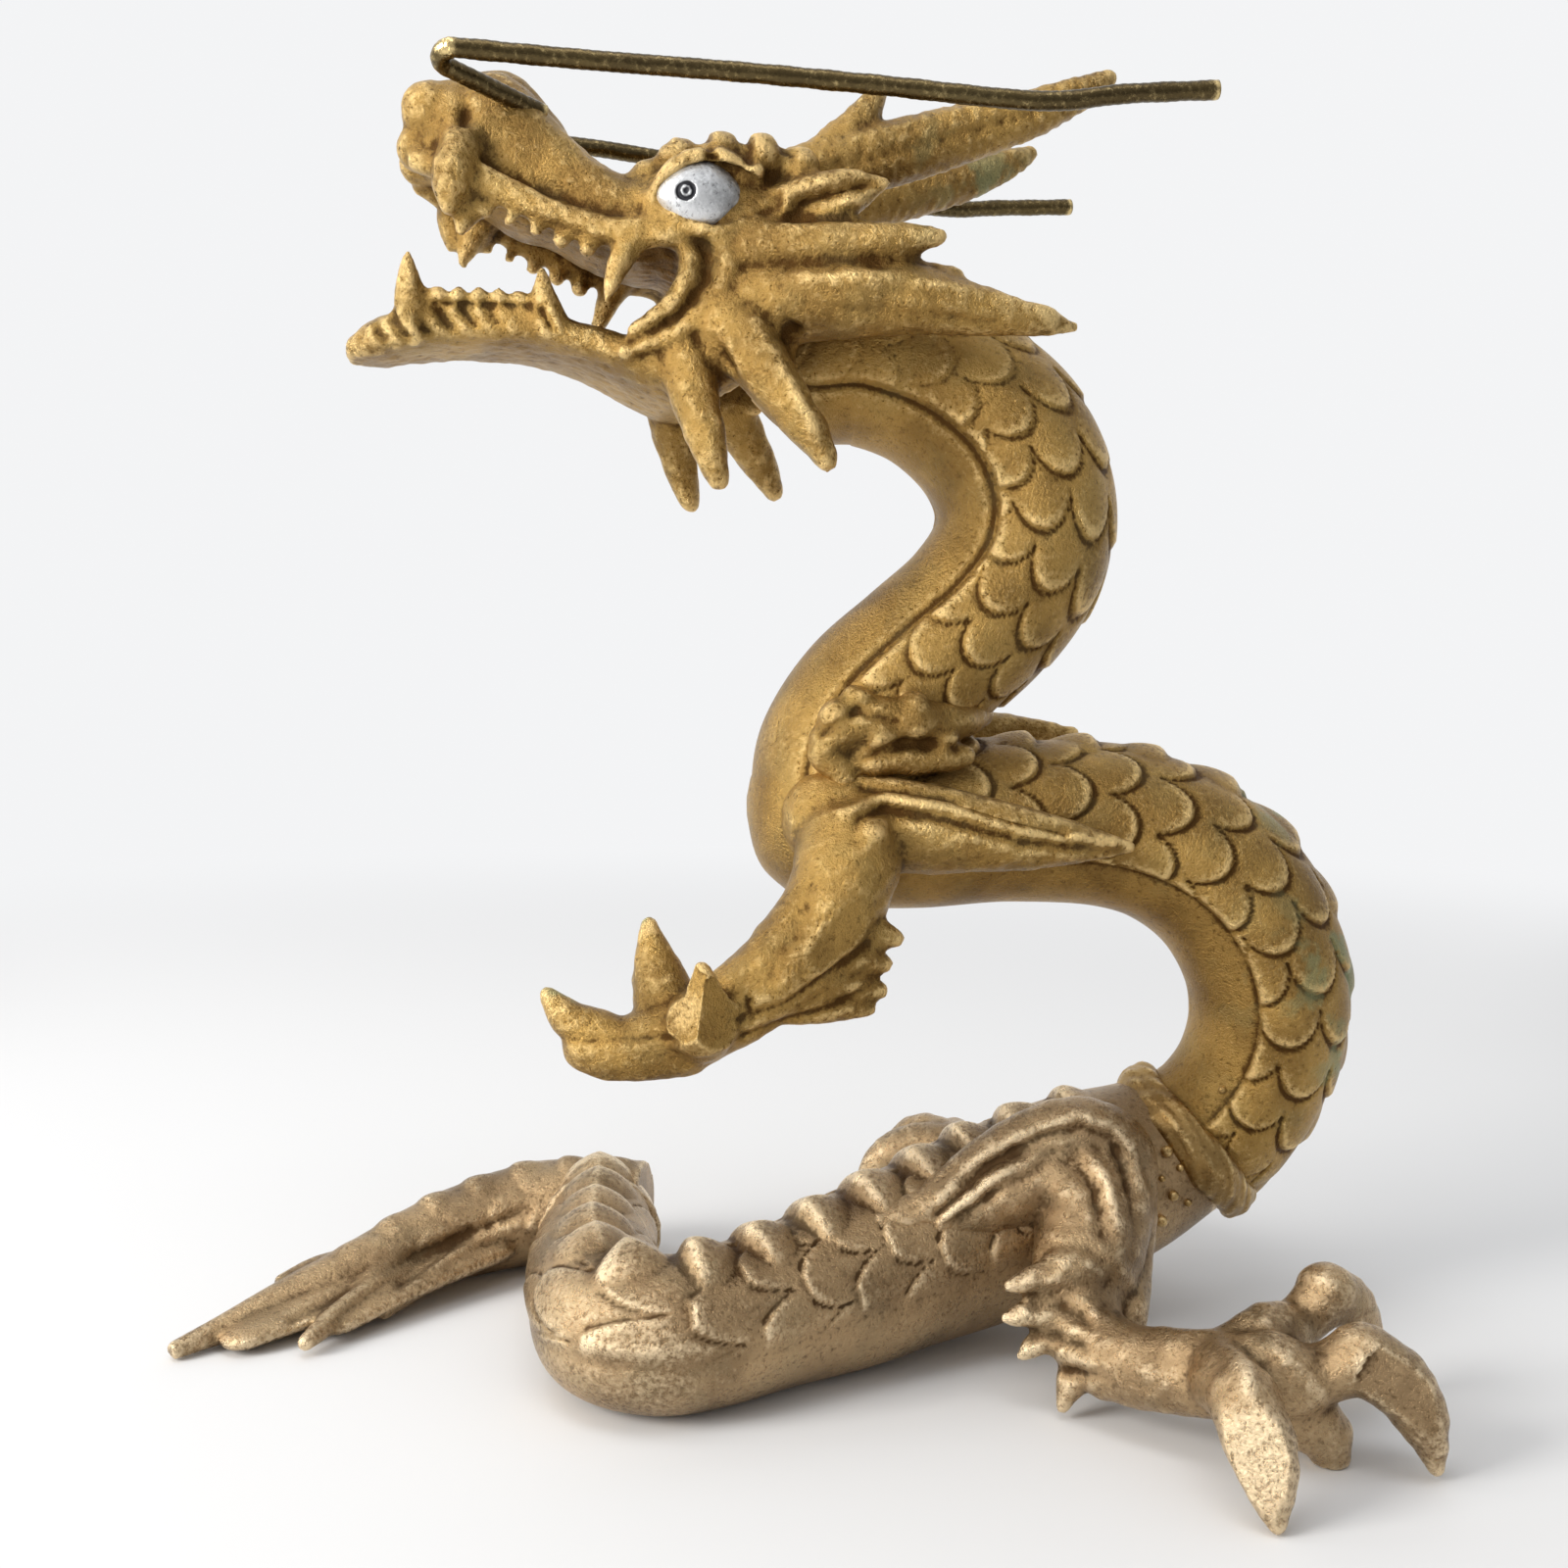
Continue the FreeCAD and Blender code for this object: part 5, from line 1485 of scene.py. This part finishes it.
# %% [markdown]
# The camera stands level with the figure's middle and looks slightly down, close enough for a clear
# perspective.  Its place is on the layout, so it moves with the figure.
# %% Camera
SENSOR_WIDTH = 36
FOCAL_SHARE = 1.025
CAMERA_PLACE = (0.0, -280.0, 120.0)
CAMERA_TILT = 4.43
camera_data = bpy.data.cameras.new("camera")
camera_data.sensor_width = SENSOR_WIDTH
camera_data.lens = SENSOR_WIDTH * FOCAL_SHARE
camera = bpy.data.objects.new("camera", camera_data)
camera.location = ((np.array(CAMERA_PLACE) + SHIFT) * MM).tolist()
camera.rotation_euler = (math.radians(90 - CAMERA_TILT), 0, 0)
camera_data.clip_start = 0.01
bpy.context.scene.collection.objects.link(camera)
bpy.context.scene.camera = camera
print("lens in mm:", round(camera_data.lens, 1))

# %% [markdown]
# Gold paint shows what stands round it, so the backdrop matters as much as the lamps.  It is white
# behind the figure and darker towards the viewer, which gives the castings dark sides.
# %% Backdrop
BACKDROP = (0.9, 0.905, 0.915)
HORIZON_LEVEL, LEFT_LEVEL, ABOVE_LEVEL = 0.34, 0.28, 0.45


def sky_level(tree, way):
    """Strength of the backdrop in a direction: 1 behind the figure, brighter above and to the left."""
    part = tree.nodes.new("ShaderNodeSeparateXYZ")
    tree.links.new(way, part.inputs[0])
    above = ramp_node(tree, part.outputs["Z"], -0.1, 0.9)
    left = ramp_node(tree, maths(tree, "MULTIPLY", part.outputs["X"], -1.0), -0.5, 0.9)
    behind = ramp_node(tree, part.outputs["Y"], 0.5, 0.8)
    total = maths(tree, "ADD", maths(tree, "MULTIPLY", above, ABOVE_LEVEL),
                  maths(tree, "MULTIPLY", left, LEFT_LEVEL))
    total = maths(tree, "ADD", total, HORIZON_LEVEL)
    rest = maths(tree, "SUBTRACT", 1.0, behind)
    return maths(tree, "ADD", maths(tree, "MULTIPLY", total, rest), behind)

# %% [markdown]
# The figure stands on white paper that keeps its shadow.  The paper turns into the backdrop further
# away, and both ask the same function for their strength, so no edge shows where they meet.
# %% Floor
FLOOR_SIZE, FLOOR_DROP = 8, -0.0002
FLOOR_FADE = (0.25, 0.75)


def plain_material(name, colour, roughness):
    """One even colour."""
    made = bpy.data.materials.new(name)
    made.use_nodes = True
    shader = made.node_tree.nodes["Principled BSDF"]
    shader.inputs["Base Color"].default_value = (*colour, 1)
    shader.inputs["Roughness"].default_value = roughness
    return made


def floor_material(near, far):
    """White paper that turns into the backdrop further away, so that no edge shows between them."""
    made = plain_material("floor_paper", (0.74, 0.74, 0.74), 0.9)
    tree = made.node_tree
    place = tree.nodes.new("ShaderNodeNewGeometry").outputs["Position"]
    distance = tree.nodes.new("ShaderNodeVectorMath")
    distance.operation = "LENGTH"
    tree.links.new(place, distance.inputs[0])
    way = tree.nodes.new("ShaderNodeVectorMath")
    way.operation = "NORMALIZE"
    tree.links.new(place, way.inputs[0])
    glow = tree.nodes.new("ShaderNodeEmission")
    glow.inputs["Color"].default_value = (*BACKDROP, 1)
    tree.links.new(sky_level(tree, way.outputs[0]), glow.inputs["Strength"])
    blend = tree.nodes.new("ShaderNodeMixShader")
    tree.links.new(ramp_node(tree, distance.outputs["Value"], near, far), blend.inputs["Fac"])
    tree.links.new(tree.nodes["Principled BSDF"].outputs["BSDF"], blend.inputs[1])
    tree.links.new(glow.outputs["Emission"], blend.inputs[2])
    tree.links.new(blend.outputs["Shader"], tree.nodes["Material Output"].inputs["Surface"])
    return made


bpy.ops.mesh.primitive_plane_add(size=FLOOR_SIZE, location=(0, 0, FLOOR_DROP))
floor = bpy.context.object
floor.name = "floor"
floor.data.materials.append(floor_material(*FLOOR_FADE))
print("floor size in m:", FLOOR_SIZE)

# %% [markdown]
# Polished gold reflects the whole room.  A picture of a room could light it, but a formula needs no
# file and is easy to change, so the world asks the backdrop's function in every direction.
# %% World
def studio_world():
    """The backdrop in every direction."""
    world = bpy.data.worlds.new("studio")
    bpy.context.scene.world = world
    world.use_nodes = True
    tree = world.node_tree
    way = tree.nodes.new("ShaderNodeTexCoord").outputs["Generated"]
    sky = tree.nodes["Background"]
    sky.inputs["Color"].default_value = (*BACKDROP, 1)
    tree.links.new(sky_level(tree, way), sky.inputs["Strength"])


studio_world()
print("backdrop colour:", BACKDROP)

# %% [markdown]
# A large window from the left gives the soft highlights, and a weak one from above lifts the backs
# of the castings.  Rectangles are used, because a point lamp would sparkle on every grain.
# %% Lamps
def lamp(name, place, target, size, power, colour):
    """A rectangle of light at a place, aimed at a target, in metres and watts."""
    data = bpy.data.lights.new(name, "AREA")
    data.shape = "RECTANGLE"
    data.size, data.size_y = size
    data.energy = power
    data.color = colour
    thing = bpy.data.objects.new(name, data)
    thing.location = place
    aim = Vector(target) - Vector(place)
    thing.rotation_euler = aim.to_track_quat("-Z", "Y").to_euler()
    bpy.context.scene.collection.objects.link(thing)


MIDDLE = (0, 0, 0.1)
lamp("window_left", (-0.95, -0.5, 0.52), MIDDLE, (0.45, 0.55), 12.5, (1, 0.98, 0.95))
lamp("window_top", (-0.1, -0.15, 0.85), MIDDLE, (0.8, 0.25), 1.6, (0.95, 0.97, 1))
print("lamps:", len(bpy.data.lights))
bpy.context.scene.view_settings.view_transform = "Standard"
